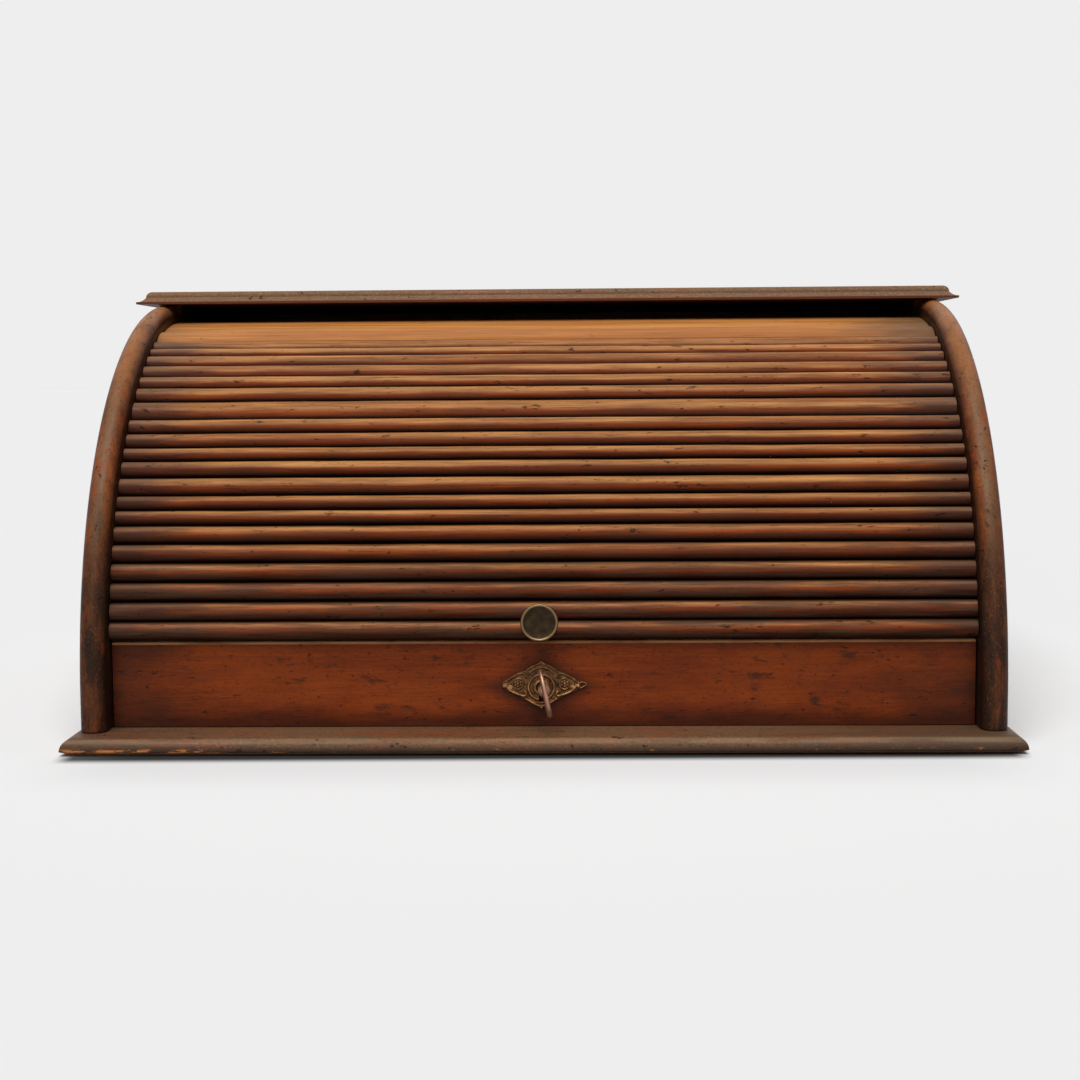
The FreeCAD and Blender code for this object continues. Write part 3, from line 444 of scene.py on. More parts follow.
def finished(wood, along, streaks, marks, roughness, specular, dust=None, ridges=0.06):
    """Give a board its gloss and its relief, and hand its material over.

    Pale streaks and dust are duller. The relief is fine ridges along the grain, a little unevenness
    of the board, and the knocks' dents, all in mm.
    """
    dull = wood.plus(streaks, dust) if dust else streaks
    gloss = wood.ramp(dull, 0.3, 1.1 if dust else 0.7, *roughness)
    fine = wood.bump(wood.noise(tuple(length / 3 for length in along), detail=4), ridges)
    uneven = wood.bump(wood.noise((30, 14, 14), detail=2, offset=(4, 4, 9)), UNEVENNESS, fine)
    relief = wood.bump(wood.minus(1.0, marks), DENT, uneven)
    return wood.done(Roughness=gloss, Normal=relief, Specular_IOR_Level=specular)


# %% [markdown]
# ### The slats' polish
# Light bleaches what faces the sky, and dusters rub the same crowns, so a slat is warm tan on top,
# and that tan is also a painted highlight. What faces down is darkened as painted shade, so its front
# is deep red, and the groove below the crowns is painted nearly black with grime and painted shade.
# Next to the groove above it, wax and soot have gathered, with painted shade from the reed above. The
# lowest slats are the grubbiest, with brown wax and bare red wood in long patches, and the ends, which
# no duster reaches, are dark and dusty. So the colour is read from where a place lies and which way it
# faces. Every slat also carries a number of its own, its tone, so that no two match exactly. The tail
# slat and board lie on the crest and are golden all over.

# %% Slats
ALONG_SLAT = (85, 2.4, 2.4)


def make_slat_wood():
    wood = Finish("slat_wood")
    streaks = wood_layers(wood, (168, 78, 28), (116, 46, 16), ALONG_SLAT)
    red = wood.colour
    wood_layers(wood, (208, 146, 84), (156, 94, 48), ALONG_SLAT, figure_size=5)
    outer = dusty_ends(wood, (26, 4, 4), 90, -4, 46, detail=6, offset=(7, 7, 1))
    dusty = wood.times(outer, 0.85)
    tan = wood.blend(dusty, wood.colour, (122, 88, 66))
    wood.colour = wood.blend(dusty, red, (46, 26, 18))
    ragged = wood.times(wood.noise((40, 3, 3), detail=4, offset=(2, 7, 1)), 0.5)
    facing = wood.plus(wood.skyward(), ragged)
    # Tan where a slat faces the sky: bleaching and wear, and a painted highlight.
    bleached_and_highlit = wood.ramp(wood.minus(facing, wood.times(outer, 0.14)), 0.48, 0.9)
    wear = wood.plus(wood.attribute("tone"), wood.noise((160, 9, 9), detail=4))
    wood.paint(tan, wood.times(bleached_and_highlit, wood.ramp(wear, 0.3, 0.9)))
    # Painted shade: whatever faces down is darkened.
    wood.paint((54, 22, 10), wood.ramp(facing, -0.2, 0.7, 0.92, 0))
    height = wood.axis("Z")
    low_down = wood.ramp_mm(height, 50, 125, 0.85, 0.38)
    lowest = wood.ramp_mm(height, 60, 110, 1, 0.15)
    grubby = wood.mottle((66, 44, 31), (60, 4, 4), (0.4, 0.62), low_down,
                         detail=7, roughness=0.66, offset=(4, 4, 4))
    wood.mottle((92, 67, 51), (40, 2.4, 2.4), (0.4, 0.64, 0, 0.66), lowest,
                detail=6, roughness=0.65, offset=(5, 8, 2))
    wood.mottle((134, 54, 22), (34, 2, 2), (0.5, 0.7, 0, 0.48), lowest,
                detail=6, roughness=0.65, offset=(7, 3, 9))
    # Soot next to the groove above, with painted shade cast by the reed above.
    up_the_flank = wood.plus(wood.uphill(), wood.times(ragged, 0.5))
    wood.paint((38, 22, 14), wood.ramp(up_the_flank, 0.64, 1.02, 0, 0.88))
    marks = knocks(wood, (9, 3, 3), 3.6)
    knocks(wood, (5, 0.8, 0.8), 4.6, tint=(50, 24, 13), strength=0.6, offset=(8, 2, 5))
    # The groove below the crowns is painted nearly black: grime and painted shade.
    sunk = wood.minus(CROWN_RADIUS, wood.roll_radius())
    wood.paint((20, 11, 7), wood.ramp_mm(sunk, 1.4, 3.3, 0, 0.95))
    specks = wood.specks((7, 7, 7), share=0.03, size=0.05, offset=(8, 1, 1))
    wood.paint((205, 185, 160), wood.times(specks, 0.7))
    return finished(wood, ALONG_SLAT, streaks, marks, (0.36, 0.5), 0.09, grubby, ridges=0.04)


def make_crest_wood():
    wood = Finish("crest_wood")
    streaks = wood_layers(wood, (212, 147, 78), (170, 106, 54), ALONG_SLAT, figure_size=5)
    bloom(wood, (170, 92, 40), 0.5, (120, 3, 3), 0.7)
    ends = dusty_ends(wood, (26, 5, 5), 60, -14, 44, middle=-14, detail=5, offset=(7, 7, 1))
    wood.paint((90, 68, 50), wood.times(ends, 0.85))
    marks = knocks(wood, (9, 4, 4), 1.5, soft=0.04)
    return finished(wood, ALONG_SLAT, streaks, marks, (0.4, 0.55), 0.12, ridges=0.04)


# %% [markdown]
# ### The sides
# Their grain stands upright. The bullnose in front is rubbed dusty brown along its middle, which is
# also a painted highlight, more golden high up, and is darkened along its two edges as painted shade
# where it turns away. The foot is dark with wax that the duster pushed into the corner, but for a few
# worn orange patches and old scratches, and a near-black line of painted shade runs where the side
# stands on the base board. The inner faces are painted dark as painted shade.
# The distance in from the curved edge follows the roll's circle above its axis and a straight line
# below it.

# %% Side boards
def make_side_wood():
    wood = Finish("side_wood")
    along = (3.2, 5, 60)
    streaks = wood_layers(wood, (158, 84, 38), (106, 52, 23), along)
    height = wood.axis("Z")
    rise = wood.math("MAXIMUM", wood.beyond("Z", ROLL.z), 0)
    reach = wood.math("MAXIMUM", wood.forward(ROLL.y), 0)
    inward = wood.minus(ROLL.y - side_low.y, wood.slant(rise, reach))
    nose = wood.ramp_mm(inward, 4, 10, 1, 0)
    from_middle = wood.minus(wood.distance("X", 0), (side_low.x + side_high.x) / 2)
    waver = wood.times(wood.noise((6, 8, 24), detail=5, offset=(2, 2, 5)), 4 * MM)
    aside = wood.plus(wood.math("ABSOLUTE", from_middle), waver)
    high_up = wood.ramp_mm(height, 155, 190)
    wood.paint((142, 94, 54), wood.times(high_up, 0.6))
    # Dusty wear along the nose's middle, and a painted highlight there.
    rubbed_and_highlit_tone = wood.blend(high_up, (132, 98, 70), (160, 102, 55))
    rubbed_and_highlit = wood.times(wood.ramp_mm(aside, 3.0, 6.8, 0.8, 0), wood.ramp_mm(height, 65, 118, 0.25, 1))
    wood.paint(rubbed_and_highlit_tone, rubbed_and_highlit)
    # Painted shade along the nose's two edges, where it turns away.
    wood.paint((58, 30, 18), wood.times(wood.ramp_mm(aside, 5.4, 8.0, 0, 0.75), nose))
    bloomed = bloom(wood, (86, 64, 46), 0.45, (9, 26, 40), 0.7)
    foot = wood.times(wood.ramp_mm(height, 60, 126, 0.95, 0), wood.ramp_mm(inward, 8, 40, 1, 0.45))
    wood.mottle((40, 27, 20), (7, 16, 24), (0.33, 0.6, 0.5, 1), foot,
                detail=6, roughness=0.62, offset=(4, 3, 2))
    wood.mottle((150, 66, 30), (6, 12, 16), (0.57, 0.68, 0, 0.5), nose, detail=5, offset=(1, 9, 4))
    wood.mottle((54, 32, 22), (1.1, 1.1, 2.2), (0.5, 0.72, 0, 0.55), roughness=0.7, offset=(1, 2, 8))
    wood.mottle((160, 114, 80), (1, 1, 1.5), (0.55, 0.72, 0, 0.28), roughness=0.7, offset=(6, 6, 2))
    marks = knocks(wood, (4, 6, 5), 3.6)
    knocks(wood, (14, 16, 14), 3.4, tint=(32, 24, 20), offset=(7, 1, 1), soft=0.1)
    # Painted shade: a near-black line where the side stands on the base board.
    above_base = wood.beyond("Z", base_high.z)
    wood.paint((16, 10, 8), wood.ramp_mm(above_base, 0, 1.6, 0.9, 0))
    wood.mottle((178, 150, 124), (9, 9, 1.1), (0.735, 0.76, 0, 0.5),
                wood.ramp_mm(above_base, 12, 70, 1, 0.12), detail=2, offset=(3, 3, 3))
    # Painted shade on the inner faces.
    inner = wood.math("LESS_THAN", wood.distance("X", 0), HALF_INSIDE + 0.3 * MM)
    wood.paint((30, 18, 12), wood.times(inner, 0.75))
    return finished(wood, along, streaks, marks, (0.36, 0.55), 0.1, bloomed)


# %% [markdown]
# ### Base and top boards
# Both lie flat, so dust has settled in their polish and made them greyer than the sides, with pale
# sand and dark grit in it. The base board is dull towards its ends and rubbed along its nose, which is
# also a painted highlight. Below that it is darkened as painted shade, but for a pale arris at the
# bottom, worn and lightened as painted light bounced up from the sheet, and orange chips, mostly on
# the left. The top board's lip is darker and redder.

# %% Moulded boards
# Heights in mm, above the base board and below the top board.
BETWEEN_BOARDS = (10, 20)


def make_moulded_wood():
    wood = Finish("moulded_wood")
    along = (80, 4, 4)
    streaks = wood_layers(wood, (134, 80, 46), (90, 52, 30), along)
    bloomed = bloom(wood, (104, 78, 54), 0.85, (90, 30, 12), 0.8)
    height = wood.axis("Z")
    handled = wood.ramp_mm(height, *BETWEEN_BOARDS, 0.6, 0.25)
    wood.mottle((126, 62, 30), (40, 7, 3), (0.5, 0.66), handled, detail=6, offset=(9, 2, 2))
    wood.mottle((78, 66, 48), (18, 12, 4), (0.5, 0.66), handled,
                detail=6, roughness=0.65, offset=(2, 5, 8))
    more_on_top = wood.ramp_mm(height, *BETWEEN_BOARDS, 0.5, 1)
    wood.mottle((172, 136, 100), (1.1, 1.3, 0.9), (0.5, 0.66, 0, 0.6), more_on_top,
                detail=4, roughness=0.75, offset=(3, 8, 8))
    wood.mottle((58, 38, 26), (2.2, 1.6, 0.9), (0.5, 0.66, 0, 0.65),
                detail=4, roughness=0.75, offset=(1, 2, 8))
    far_out = wood.ramp(wood.distance("X", -26 * MM), 100 * MM, base_high.x, 0, 0.62)
    on_base = wood.math("LESS_THAN", height, BETWEEN_BOARDS[1] * MM)
    wood.paint((66, 53, 40), wood.times(far_out, on_base))
    wood.paint((190, 152, 116), wood.ramp_mm(height, *BETWEEN_BOARDS, 0, 0.12))
    above_lip = wood.beyond("Z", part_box("top_board")[0].z)
    on_top_board = wood.math("GREATER_THAN", above_lip, -MM)
    lip = wood.times(on_top_board, wood.ramp_mm(above_lip, 0.9, 1.9, 0.75, 0))
    wood.paint((96, 40, 22), lip)
    # Wear along the nose's upper rounding, and a painted highlight there.
    rubbed_and_highlit = wood.times(wood.ramp_mm(height, 5.0, 6.4), wood.ramp_mm(height, 7.3, 7.9, 1, 0))
    wood.mottle((172, 140, 106), (40, 12, 3), (0.3, 0.6, 0.05, 0.32), rubbed_and_highlit,
                detail=6, offset=(3, 3, 1))
    # Painted shade on the lower part of the nose, which faces down.
    wood.paint((50, 35, 26), wood.ramp_mm(height, 2.2, 6.0, 0.86, 0))
    # A worn arris at the bottom, lightened as painted light bounced up from the sheet.
    wood.paint((160, 118, 90), wood.ramp_mm(height, 0.7, 2.0, 0.9, 0))
    nose = wood.times(wood.ramp_mm(height, 0.2, 1.2), wood.ramp_mm(height, 2.2, 4.2, 1, 0))
    chips = wood.noise((11, 4, 2.2), detail=5, roughness=0.7, offset=(1, 6, 2))
    left = wood.ramp_mm(wood.beyond("X", base_low.x), 40, 140, 0.14, 0)
    wood.paint((206, 128, 66), wood.times(wood.ramp(wood.plus(chips, left), 0.62, 0.67, 0, 0.9), nose))
    marks = knocks(wood, (9, 6, 6), 2.5, soft=0.04)
    return finished(wood, along, streaks, marks, (0.42, 0.6), 0.18, bloomed, ridges=0.08)


# %% [markdown]
# ### The drawer front
# It is the best board of the box: deep red-brown and well polished, and darker to both ends. Along
# its foot and round the escutcheon it is darker with grime where no duster gets in, and with painted
# shade where the base board and the plate stand out in front of it. It has a pale worn line on the
# front of its upper edge, which is also a painted highlight, a dusty top behind that, and dark stains,
# knocks and cracks of every size.

# %% Drawer front
ESCUTCHEON_SHAPE = 1.6


def make_drawer_front_wood():
    wood = Finish("drawer_front_wood")
    along = (30, 3, 1.1)
    streaks = wood_layers(wood, (149, 65, 21), (122, 50, 16), along, figure_size=6, distortion=0.8)
    wood.mottle((106, 44, 19), (34, 9, 14), (0.4, 0.66, 0, 0.55),
                detail=7, roughness=0.66, offset=(6, 1, 4))
    wood.mottle((92, 38, 18), (2.6, 2, 1.5), (0.5, 0.7, 0, 0.5),
                detail=5, roughness=0.7, offset=(3, 1, 9))
    wood.mottle((172, 81, 30), (70, 9, 26), (0.45, 0.7, 0, 0.28), offset=(2, 5, 8))
    ends = dusty_ends(wood, (30, 8, 16), 90, -14, 62, detail=5, offset=(9, 9, 9))
    wood.paint((54, 27, 16), wood.times(ends, 0.85))
    height = wood.beyond("Z", front_low.z)
    # Darker along the foot: grime, and painted shade where the base board meets it.
    waver = wood.times(wood.noise((22, 8, 8), detail=4, offset=(3, 1, 1)), 12 * MM)
    wood.paint((50, 22, 13), wood.ramp_mm(wood.minus(height, waver), -5, 6, 0.75, 0))
    # Darker round the escutcheon: grime, and painted shade from the plate.
    sideways = wood.math("DIVIDE", wood.distance("X", LOCK.x), ESCUTCHEON_SHAPE)
    round_plate = wood.plus(sideways, wood.distance("Z", LOCK.z))
    wood.paint((38, 20, 13), wood.ramp_mm(round_plate, 10, 22, 0.8, 0))
    knocks(wood, (15, 7, 7), 6, tint=(56, 32, 23), strength=0.75, offset=(5, 5, 2), soft=0.12)
    marks = knocks(wood, (4.2, 2, 2.8), 3.8, tint=(42, 24, 19), strength=0.75)
    knocks(wood, (6, 2, 0.7), 5, tint=(56, 25, 14), strength=0.65, offset=(8, 5, 5))
    knocks(wood, (2.4, 2, 1.3), 5, tint=(56, 27, 16), strength=0.65, offset=(2, 7, 1))
    set_back = wood.beyond("Y", front_low.y)
    wood.paint((126, 92, 60), wood.ramp_mm(set_back, 1.5, 4, 0, 0.6))
    # A pale line on the front of the upper edge: wear, and a painted highlight.
    below_top = wood.minus(front_high.z - front_low.z, height)
    worn_and_highlit = wood.times(wood.ramp_mm(below_top, 0.8, 1.6, 1, 0), wood.ramp_mm(set_back, 1.8, 3.6, 1, 0))
    wood.mottle((250, 176, 118), (30, 5, 5), (0.3, 0.6, 0.4, 1), worn_and_highlit, detail=4, offset=(1, 1, 8))
    return finished(wood, along, streaks, marks, (0.32, 0.44), 0.12)


# %% [markdown]
# ### Inner wood
# Drawer sides, bottoms and backs were never polished: pine or poplar, yellowed, dry and dusty, with a
# soft grain and no gloss to speak of.

# %% Inner wood
def make_inner_wood():
    wood = Finish("inner_wood")
    along = (70, 50, 4)
    streaks = wood_layers(wood, (178, 132, 88), (146, 102, 64), along)
    bloom(wood, (120, 92, 66), 0.4, (60, 60, 40), 0.6)
    marks = knocks(wood, (14, 14, 14), 0.05, tint=(80, 50, 30), soft=0.04)
    return finished(wood, along, streaks, marks, (0.6, 0.75), 0.2, ridges=0.1)


# %% [markdown]
# ### The canvas
# A plain weave shows as two sets of crossing threads. They follow the cloth: one counts along the box,
# the other along the roll, which is an angle about its axis.

# %% Canvas
THREAD = 0.9 * MM


def make_canvas():
    linen = Finish("canvas")
    weft = linen.wave(linen.times(linen.roll_angle(), BACK_RADIUS), THREAD)
    weave = linen.times(linen.wave(linen.axis("X"), THREAD), weft)
    linen.colour = linen.blend(linen.ramp(weave, -1, 1), (132, 112, 86), (176, 156, 124))
    bloom(linen, (98, 74, 52), 0.5, (40, 30, 30), 0.6)
    return linen.done(Roughness=0.9, Normal=linen.bump(weave, 0.12))


# %% [markdown]
# ## Metal
# Brass that nobody cleans goes brown to nearly black, and stays bright only where it is touched. So
# each metal is two colours: the patina in the hollows and the rubbed metal on the high places. How
# high a place is, is read from its distance in front of the drawer or, on the knob, from a number
# that its rim carries. The escutcheon's raised parts are also brighter low down, as a painted
# highlight, and the key's collar is rust darkened further as painted shade. Clouds of patina lie over
# both. The key is iron under thin rust, which mirrors less than bare metal does.

# %% Metals
def make_metal(name, rubbed_and_highlit, patina, size, high=None, mottling=0.35, metallic=1.0):
    """A metal with patina. high is a mask of the places that are rubbed bright, if it has any."""
    metal = Finish(name)
    mask = metal.ramp(metal.noise((size, size, size), detail=6, roughness=0.65), 0.34, 0.66)
    if high:
        mask = metal.math("ADD", metal.times(mask, mottling), high(metal), clamp=True)
    # On the escutcheon the bright colour is also a painted highlight.
    metal.colour = metal.blend(mask, patina, rubbed_and_highlit)
    scratches = metal.noise((size, size * 0.1, size * 0.1), offset=(4, 1, 2))
    gloss = metal.ramp(mask, 0, 1, 0.55, 0.34)
    return metal.done(Roughness=gloss, Normal=metal.bump(scratches, 0.015), Metallic=metallic)


def high_on_escutcheon(metal):
    """Wires, beads and ring stand out of the pressing's plate, and are brighter low down, a painted highlight."""
    proud = metal.ramp_mm(metal.forward(front_low.y), 0.95, 1.6, 0, 0.9)
    # Painted highlight: brighter low down.
    below = metal.ramp_mm(metal.beyond("Z", LOCK.z), -3, 5, 1, 0.3)
    uneven = metal.noise((2.6, 2.6, 2.6), detail=4, roughness=0.65, offset=(2, 2, 5))
    return metal.times(proud, metal.times(below, metal.ramp(uneven, 0.36, 0.6, 0.2, 1)))


def high_on_key(metal):
    """Fingers rub the bow. The collar behind it keeps its rust, darkened further as painted shade."""
    return metal.ramp_mm(metal.forward(front_low.y), 12.5, 14.5, 0.15, 0.7)


def high_on_knob(metal):
    """The rim of the knob's disc is rubbed by every hand that lifts the shutter."""
    return metal.ramp(metal.attribute("tone"), 0.2, 0.9, 0, 0.8)


finishes = {
    "slat_wood": make_slat_wood(),
    "crest_wood": make_crest_wood(),
    "side_wood": make_side_wood(),
    "moulded_wood": make_moulded_wood(),
    "drawer_front_wood": make_drawer_front_wood(),
    "inner_wood": make_inner_wood(),
    "canvas": make_canvas(),
    "knob_brass": make_metal("knob_brass", (116, 96, 68), (38, 29, 20), 4, high_on_knob, mottling=0.1),
    "escutcheon_brass": make_metal(
        "escutcheon_brass", (176, 126, 80), (58, 39, 29), 2, high_on_escutcheon, mottling=0.3),
    "lock_brass": make_metal("lock_brass", (188, 158, 100), (128, 100, 62), 6),
    "key_metal": make_metal("key_metal", (190, 144, 116), (84, 49, 33), 4, high_on_key, metallic=0.6),
    "screw_steel": make_metal("screw_steel", (150, 148, 144), (88, 80, 74), 3),
}
print("finishes:", ", ".join(finishes))

# %% Dress the frame's own pieces
other_finish = {
    "tail_board": "crest_wood",
    "escutcheon_pin_left": "escutcheon_brass",
    "escutcheon_pin_right": "escutcheon_brass",
}
slots = {entry["node"]: entry["material_slot"] for entry in frame["record"]["subparts"]}
for node, slot in slots.items():
    nodes[node].data.materials.clear()
    nodes[node].data.materials.append(finishes[other_finish.get(node, slot)])
print("dressed", len(slots), "nodes")


# %% [markdown]
# ## The shutter's slats
# A tambour slat is a stick with a half-round reed planed on its face and a thin tongue at each end
# that runs in the side's groove. It could be a cylinder cut in half, but the stock is a little wider
# than its reed at the root, so the section is drawn instead: a filled circle gets its corners moved
# to the section, and is drawn out along the box like planed stock. Each slat is made as if it lay on
# top of the roll, and is then turned down to its place. Old slats are never quite straight, so each
# one gets a faint waviness where it shows, and a tone of its own.

# %% A slat's place and section
REED_STEPS = 14


def angle_of(node):
    """Angle of the middle of a slat about the roll's axis, above the level front."""
    around = [math.atan2(spot.z, -spot.y) for spot in seen_from_roll(node)]
    return (min(around) + max(around)) / 2


def lie_flat(node, angle):
    """A node's corners as if what stands at that angle lay on top of the roll."""
    turn_back = Matrix.Rotation(angle - math.radians(90), 3, "X")
    return [turn_back @ spot for spot in seen_from_roll(node)]


def down_to(angle):
    """The move from the top of the roll to a place at that angle."""
    return Matrix.Translation(ROLL) @ Matrix.Rotation(math.radians(90) - angle, 4, "X")


def reed_section(half_width, rise, reeds):
    """Corners (y, z) of the section, anticlockwise from the back, for a slat on top of the roll."""
    corners = [(-half_width, BACK_RADIUS), (half_width, BACK_RADIUS)]
    half_reed = half_width / reeds
    bow = (half_reed ** 2 + rise ** 2) / (2 * rise)
    opening = math.asin(min(1, half_reed / bow))
    for number in range(reeds):
        middle = half_width - (2 * number + 1) * half_reed
        for step in range(REED_STEPS + 1):
            if number and not step:
                continue
            turn = opening * (1 - 2 * step / REED_STEPS)
            corners.append((middle + bow * math.sin(turn), CROWN_RADIUS - bow + bow * math.cos(turn)))
    return corners


# %% [markdown]
# Blender's mesh tools work on what is selected in edit mode, so a few helpers open a piece, pick its
# faces or edges by their place and draw them out. Others give a closed piece its modifiers, put its
# place into its mesh, so that the object itself sits at the origin, and shade it.

# %% Working on a piece
def choose(piece):
    """Make the piece the only selected one, and the active one."""
    bpy.ops.object.select_all(action="DESELECT")
    piece.select_set(True)
    bpy.context.view_layer.objects.active = piece


def start_editing(piece):
    """Open the piece in edit mode, with all of it selected."""
    choose(piece)
    bpy.ops.object.mode_set(mode="EDIT")
    bpy.ops.mesh.select_all(action="SELECT")


def stop_editing():
    bpy.ops.object.mode_set(mode="OBJECT")


def draw_out(way):
    """Extrude what is selected."""
    bpy.ops.mesh.extrude_region_move(TRANSFORM_OT_translate={"value": way})


def face_outward():
    """Turn every face of the opened piece outward."""
    bpy.ops.mesh.select_all(action="SELECT")
    bpy.ops.mesh.normals_make_consistent(inside=False)


def select_by_place(piece, part, wanted):
    """Select the faces or the edges that pass a test, and nothing else."""
    bpy.ops.mesh.select_mode(type=part)
    bpy.ops.mesh.select_all(action="DESELECT")
    mesh = bmesh.from_edit_mesh(piece.data)
    for element in mesh.faces if part == "FACE" else mesh.edges:
        if wanted(element):
            element.select_set(True)
    bmesh.update_edit_mesh(piece.data)


def reshape(piece, kind, **settings):
    """Give the piece one modifier, and make what it does the piece's own mesh."""
    modifier = piece.modifiers.new(kind.lower(), kind)
    for setting, value in settings.items():
        setattr(modifier, setting, value)
    bpy.context.view_layer.objects.active = piece
    bpy.ops.object.modifier_apply(modifier=modifier.name)


def settle(piece, move=None):
    """Put the piece's place into its mesh, so that its object sits at the origin."""
    if move:
        piece.data.transform(move)
    choose(piece)
    bpy.ops.object.transform_apply(location=True, rotation=True, scale=True)


def smooth(piece, degrees=38):
    """Shade the piece smoothly, but for edges sharper than that."""
    choose(piece)
    bpy.ops.object.shade_smooth_by_angle(angle=math.radians(degrees))


# %% [markdown]
# The end faces under the tongue's height are drawn out into tongues, and only the long edges are
# divided, so that the waviness has points to move. The points keep their place at the back, where the
# canvas is glued, and move most at the crown.

# %% One slat
TONGUE_THICKNESS = 2.4 * MM
TONGUE_END = max(corner.co.x for corner in nodes["slat_10"].data.vertices)
SHOULDER = HALF_INSIDE - 0.5 * MM
LONG_CUTS = 80
SAME_WIDTH = 0.02 * MM
CROWN_START = 0.35


def plane_slat(node, reeds=1):
    """Plane a slat to the section of the frame's own one, and give it its tongues."""
    angle = angle_of(node)
    corners = lie_flat(node, angle)
    half_width = max(abs(corner.y) for corner in corners)
    top = max(corner.z for corner in corners)
    shoulder_height = max(corner.z for corner in corners if half_width - abs(corner.y) < SAME_WIDTH)
    section = reed_section(half_width, top - shoulder_height, reeds)
    slat = added(bpy.ops.mesh.primitive_circle_add, vertices=len(section), fill_type="NGON")
    slat.name = f"planed_{node}"
    for corner, (across, height) in zip(slat.data.vertices, section):
        corner.co = (-SHOULDER, across, height)
    start_editing(slat)
    draw_out((2 * SHOULDER, 0, 0))
    face_outward()
    tongue_top = BACK_RADIUS + TONGUE_THICKNESS
    bpy.ops.mesh.bisect(plane_co=(0, 0, tongue_top), plane_no=(0, 0, 1))
    for hand in (-1, 1):
        select_by_place(slat, "FACE", lambda face: face.normal.x * hand > 0.9
                        and face.calc_center_median().z < tongue_top)
        draw_out((hand * (TONGUE_END - SHOULDER), 0, 0))
    select_by_place(slat, "EDGE", lambda edge: abs(edge.verts[0].co.x - edge.verts[1].co.x) > SHOULDER)
    bpy.ops.mesh.subdivide(number_cuts=LONG_CUTS)
    stop_editing()
    crown = slat.vertex_groups.new(name="crown")
    for corner in slat.data.vertices:
        height = (corner.co.z - shoulder_height) / (top - shoulder_height)
        crown.add([corner.index], min(1, max(0, CROWN_START + height)), "REPLACE")
    settle(slat, down_to(angle))
    return slat


# %% [markdown]
# Waviness and tone come last. The clouds are much longer than a reed is wide, so a groove wanders
# without its slats ever touching.

# %% All the slats
WAVE_LENGTH = 45 * MM
WAVE_DEPTH = 0.55 * MM
WAVE_MIDDLE = 0.62
wave = bpy.data.textures.new("slat_wave", "CLOUDS")
wave.noise_scale = WAVE_LENGTH
wave.noise_depth = 2


def give_tone(piece, tones):
    """One number for each corner of the piece, for its material to read."""
    attribute = piece.data.attributes.new("tone", "FLOAT", "POINT")
    attribute.data.foreach_set("value", tones)


chance = random.Random(11)
slat_names = ["lead_rail"] + [f"slat_{number:02d}" for number in range(1, 19)] + ["tail_slat"]
for order, node in enumerate(slat_names):
    slat = plane_slat(node, reeds=2 if node == "lead_rail" else 1)
    reshape(slat, "DISPLACE", texture=wave, texture_coords="LOCAL", strength=WAVE_DEPTH,
            mid_level=WAVE_MIDDLE, vertex_group="crown")
    slat.vertex_groups.clear()
    smooth(slat)
    tone = 0.2 + 0.35 * order / len(slat_names) + chance.uniform(-0.15, 0.15)
    give_tone(slat, [tone] * len(slat.data.vertices))
    slat.data.materials.append(finishes["crest_wood" if node == "tail_slat" else "slat_wood"])
    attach(slat, "tambour")
    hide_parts(node)
print("slats planed:", len(slat_names), "with", len(slat.data.polygons), "faces in the last")


# %% [markdown]
# ## The canvas behind the slats
# Linen glued across the backs is what joins loose slats into one shutter. It is cloth that was cut to
# a plain rectangle and is held flat by the glue, so it is one sheet that follows the roll: a strip of
# edges spun about the roll's axis, and no simulation, because nothing in it can sag.

# %% Canvas
CANVAS_THICKNESS = 0.6 * MM
CANVAS_STEPS = 110
CANVAS_COLUMNS = 60
canvas_low, canvas_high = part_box("canvas")
canvas_width = canvas_high.x - canvas_low.x
canvas_spots = seen_from_roll("canvas")
canvas_turns = [math.atan2(spot.z, -spot.y) for spot in canvas_spots]
CANVAS_RADIUS = sum(spot.yz.length for spot in canvas_spots) / len(canvas_spots)
CANVAS_ARC = max(canvas_turns) - min(canvas_turns)

cloth = added(bpy.ops.mesh.primitive_grid_add, x_subdivisions=CANVAS_COLUMNS, y_subdivisions=1, size=1)
cloth.name = "linen_canvas"
start = min(canvas_turns)
start_forward, start_height = -CANVAS_RADIUS * math.cos(start), CANVAS_RADIUS * math.sin(start)
for corner in cloth.data.vertices:
    corner.co = (corner.co.x * canvas_width, start_forward, start_height)
start_editing(cloth)
bpy.ops.mesh.remove_doubles(threshold=0.01 * MM)
bpy.ops.mesh.delete(type="ONLY_FACE")
bpy.ops.mesh.select_all(action="SELECT")
bpy.ops.mesh.spin(steps=CANVAS_STEPS, angle=CANVAS_ARC, center=(0, 0, 0), axis=(1, 0, 0))
face_outward()
stop_editing()
reshape(cloth, "SOLIDIFY", thickness=CANVAS_THICKNESS, offset=0)
settle(cloth, Matrix.Translation(ROLL))
smooth(cloth)
cloth.data.materials.append(finishes["canvas"])
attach(cloth, "tambour")
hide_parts("canvas")
print("canvas", round(canvas_width, 4), "by", round(CANVAS_RADIUS * CANVAS_ARC, 4))


# %% [markdown]
# ## The knob
# A small brass knob is turned in one piece, and is modelled the same way: a disc at the foot is
# drawn out along the axis and scaled, cut by cut, up to the dished face with its raised rim. The
# last cut nearly closes at the middle, and its small face keeps the knob whole.

